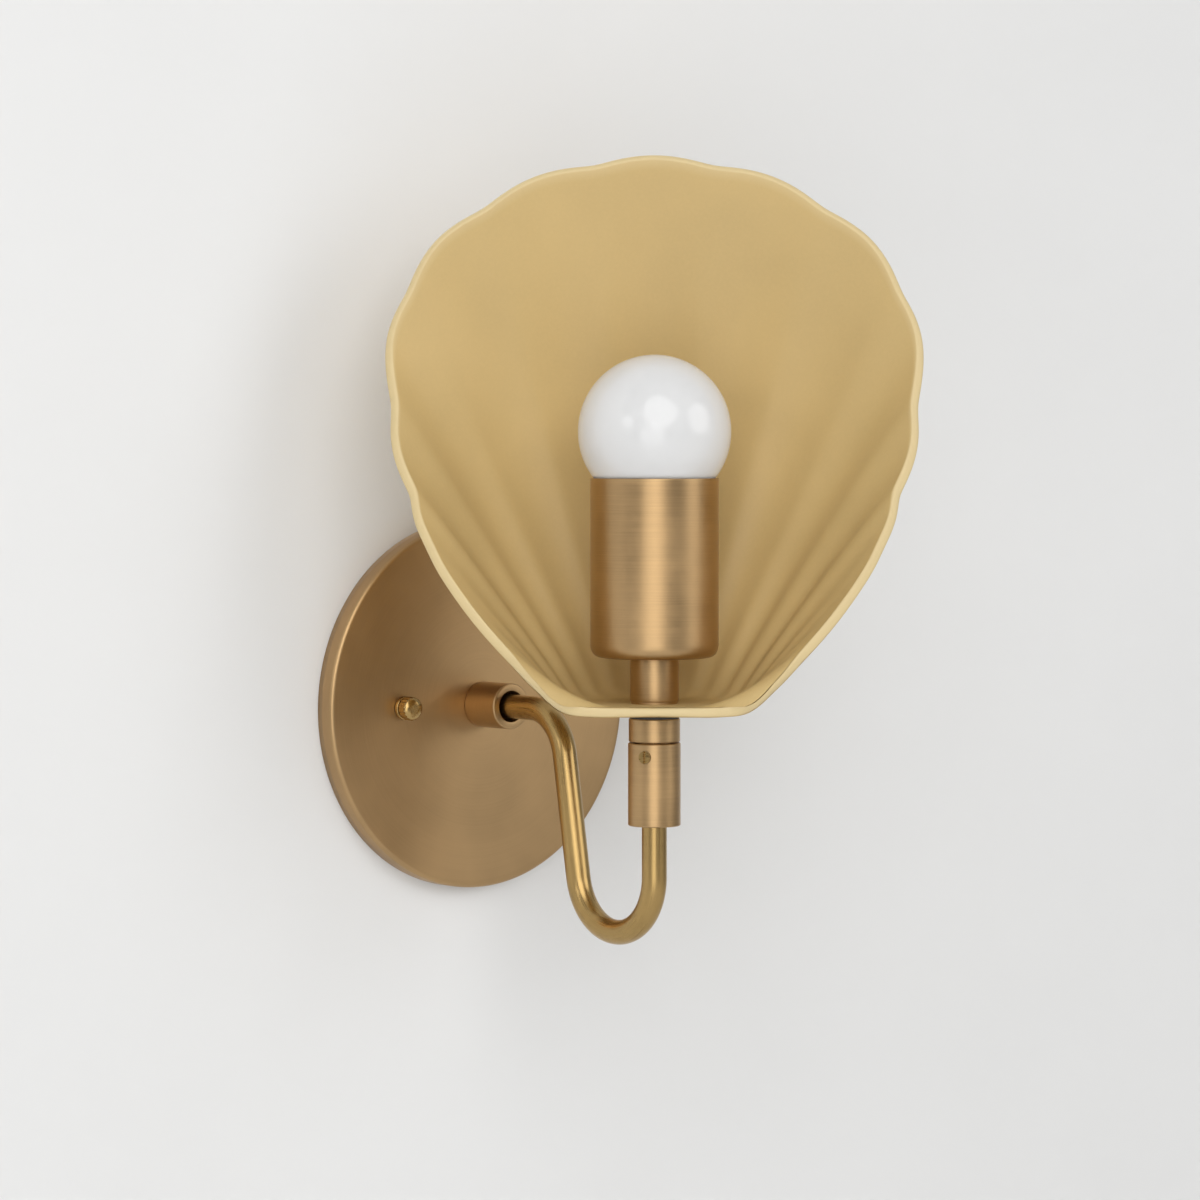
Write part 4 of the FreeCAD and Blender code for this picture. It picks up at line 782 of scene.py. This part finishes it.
# ---------------------------------------------------------------- stage
STAGE_HALF, STAGE_BACK, STAGE_LOW = 12.0, 0.0004, -0.45     # half width, wall's y, floor's z
LIGHTS = (                             # light, place and size
    ("key", (-0.85, -1.5, 1.0), 1.7),
    ("fill", (1.0, -1.65, 0.6), 1.3),
    ("bowl", (-1.15, -1.3, -0.12), 1.1),
    ("back", (0.7, 1.9, 1.1), 1.3),
    ("edge", (-1.7, -0.35, 0.5), 0.5),
)
LIGHT_TARGET = (0.0, -0.09, 0.05)
SKY_LOW, SKY_HIGH, SKY_UNDER = -0.6, 0.8, 0.45  # the even light grows upwards from a share below
CAMERA_PLACE, CAMERA_TARGET = (-0.8077, -1.0532, 0.0858), (-0.0137, -0.0887, 0.0386)
SENSOR_WIDTH = 36.0                    # mm, the sensor that the lens's length is given for


def one_sided(name, colour):
    """Plain painted surface, seen only from its front, that throws no shadow itself."""
    n = Nodes(name)
    grain = n.noise(n.place(), scale=9.0, detail=3.0)
    base = n.blend(n.between(grain, *EVEN), tone(colour, 0.99), tone(colour, 1.01))
    n.link(base, n.shader.inputs["Base Color"])
    n.set(Roughness=0.85, Specular_IOR_Level=0.2)
    back = n.add("ShaderNodeNewGeometry").outputs["Backfacing"]
    shade = n.add("ShaderNodeLightPath").outputs["Is Shadow Ray"]
    hidden = n.add("ShaderNodeMath", {0: back, 1: shade}, operation="MAXIMUM").outputs[0]
    clear = n.add("ShaderNodeBsdfTransparent")
    mix = n.add("ShaderNodeMixShader", {0: hidden})
    n.link(n.shader.outputs[0], mix.inputs[1])
    n.link(clear.outputs[0], mix.inputs[2])
    n.link(mix.outputs[0], n.tree.nodes["Material Output"].inputs["Surface"])
    return n.material


def sheet(name, corners, material):
    """A flat piece of the stage from its four corners."""
    mesh = bpy.data.meshes.new(name)
    mesh.from_pydata(corners, [], [(0, 1, 2, 3)])
    mesh.materials.append(material)
    piece = bpy.data.objects.new(name, mesh)
    bpy.context.scene.collection.objects.link(piece)


def faced(place, target):
    """Turn that points a light or a camera from its place at a target."""
    return (Vector(target) - Vector(place)).to_track_quat("-Z", "Y").to_euler()


def soft_light(name, place, size, power):
    """A round area light that faces the sconce."""
    lamp = bpy.data.lights.new(name, "AREA")
    lamp.shape = "DISK"
    lamp.size = size
    lamp.energy = power
    holder = bpy.data.objects.new(name, lamp)
    holder.location = place
    holder.rotation_euler = faced(place, LIGHT_TARGET)
    bpy.context.scene.collection.objects.link(holder)


class SCONCE_OT_stage(bpy.types.Operator):
    """Add the wall, the floor, the lights and the camera"""
    bl_idname = "sconce.stage"
    bl_label = "Stage"

    def execute(self, context):
        scene = context.scene
        stage = scene.sconce_stage
        paint = one_sided("stage_paint", tuple(scene.sconce_colours.wall))
        half, back, low = STAGE_HALF, STAGE_BACK, STAGE_LOW
        sheet("stage_wall", [(-half, back, low), (half, back, low), (half, back, half),
                             (-half, back, half)], paint)
        sheet("stage_floor", [(-half, -half, low), (half, -half, low), (half, back, low),
                              (-half, back, low)], paint)
        for light, place, size in LIGHTS:
            soft_light(light + "_light", place, size, getattr(stage, light + "_power"))
        world = bpy.data.worlds.new("studio")
        world.use_nodes = True
        tree = world.node_tree
        coords, split, ramp = (tree.nodes.new("ShaderNode" + kind)
                               for kind in ("TexCoord", "SeparateXYZ", "MapRange"))
        tree.links.new(coords.outputs["Generated"], split.inputs[0])
        tree.links.new(split.outputs["Z"], ramp.inputs["Value"])
        ramp.inputs["From Min"].default_value = SKY_LOW
        ramp.inputs["From Max"].default_value = SKY_HIGH
        ramp.inputs["To Min"].default_value = SKY_UNDER * stage.world
        ramp.inputs["To Max"].default_value = stage.world
        tree.nodes["Background"].inputs["Color"].default_value = (1, 1, 1, 1)
        tree.links.new(ramp.outputs["Result"], tree.nodes["Background"].inputs["Strength"])
        scene.world = world
        scene.view_settings.view_transform = "Standard"
        lens = bpy.data.cameras.new("photo_camera")
        lens.lens = stage.lens
        lens.sensor_width = SENSOR_WIDTH
        camera = bpy.data.objects.new("photo_camera", lens)
        camera.location = CAMERA_PLACE
        camera.rotation_euler = faced(CAMERA_PLACE, CAMERA_TARGET)
        scene.collection.objects.link(camera)
        scene.camera = camera
        return {"FINISHED"}


class SCONCE_PT_panel(bpy.types.Panel):
    """Lists the sconce's pieces"""
    bl_label = "Shell Wall Sconce"
    bl_idname = "SCONCE_PT_panel"
    bl_space_type = "VIEW_3D"
    bl_region_type = "UI"
    bl_category = "Sconce"

    def draw(self, context):
        for maker in MAKERS:
            self.layout.operator(maker.bl_idname)
        for group in (context.scene.sconce_shell, context.scene.sconce_colours,
                      context.scene.sconce_stage):
            box = self.layout.box()
            for name in group.bl_rna.properties.keys():
                if name not in ("rna_type", "name"):
                    box.prop(group, name)


MAKERS = (SCONCE_OT_shell, SCONCE_OT_canopy, SCONCE_OT_fittings, SCONCE_OT_arm, SCONCE_OT_nuts,
          SCONCE_OT_bulb, SCONCE_OT_inner, SCONCE_OT_stage)
CLASSES = (ShellSizes, FinishColours, StageSizes) + MAKERS + (SCONCE_PT_panel,)


def register():
    """Register the classes and hang the three groups of sizes on the scene."""
    for kind in CLASSES:
        bpy.utils.register_class(kind)
    bpy.types.Scene.sconce_shell = PointerProperty(type=ShellSizes)
    bpy.types.Scene.sconce_colours = PointerProperty(type=FinishColours)
    bpy.types.Scene.sconce_stage = PointerProperty(type=StageSizes)


def unregister():
    """Take away what register adds."""
    del bpy.types.Scene.sconce_shell
    del bpy.types.Scene.sconce_colours
    del bpy.types.Scene.sconce_stage
    for kind in reversed(CLASSES):
        bpy.utils.unregister_class(kind)


def main():
    """Build every piece by its operator."""
    register()
    for maker in MAKERS:
        group, name = maker.bl_idname.split(".")
        getattr(getattr(bpy.ops, group), name)()


if __name__ == "__main__":
    main()
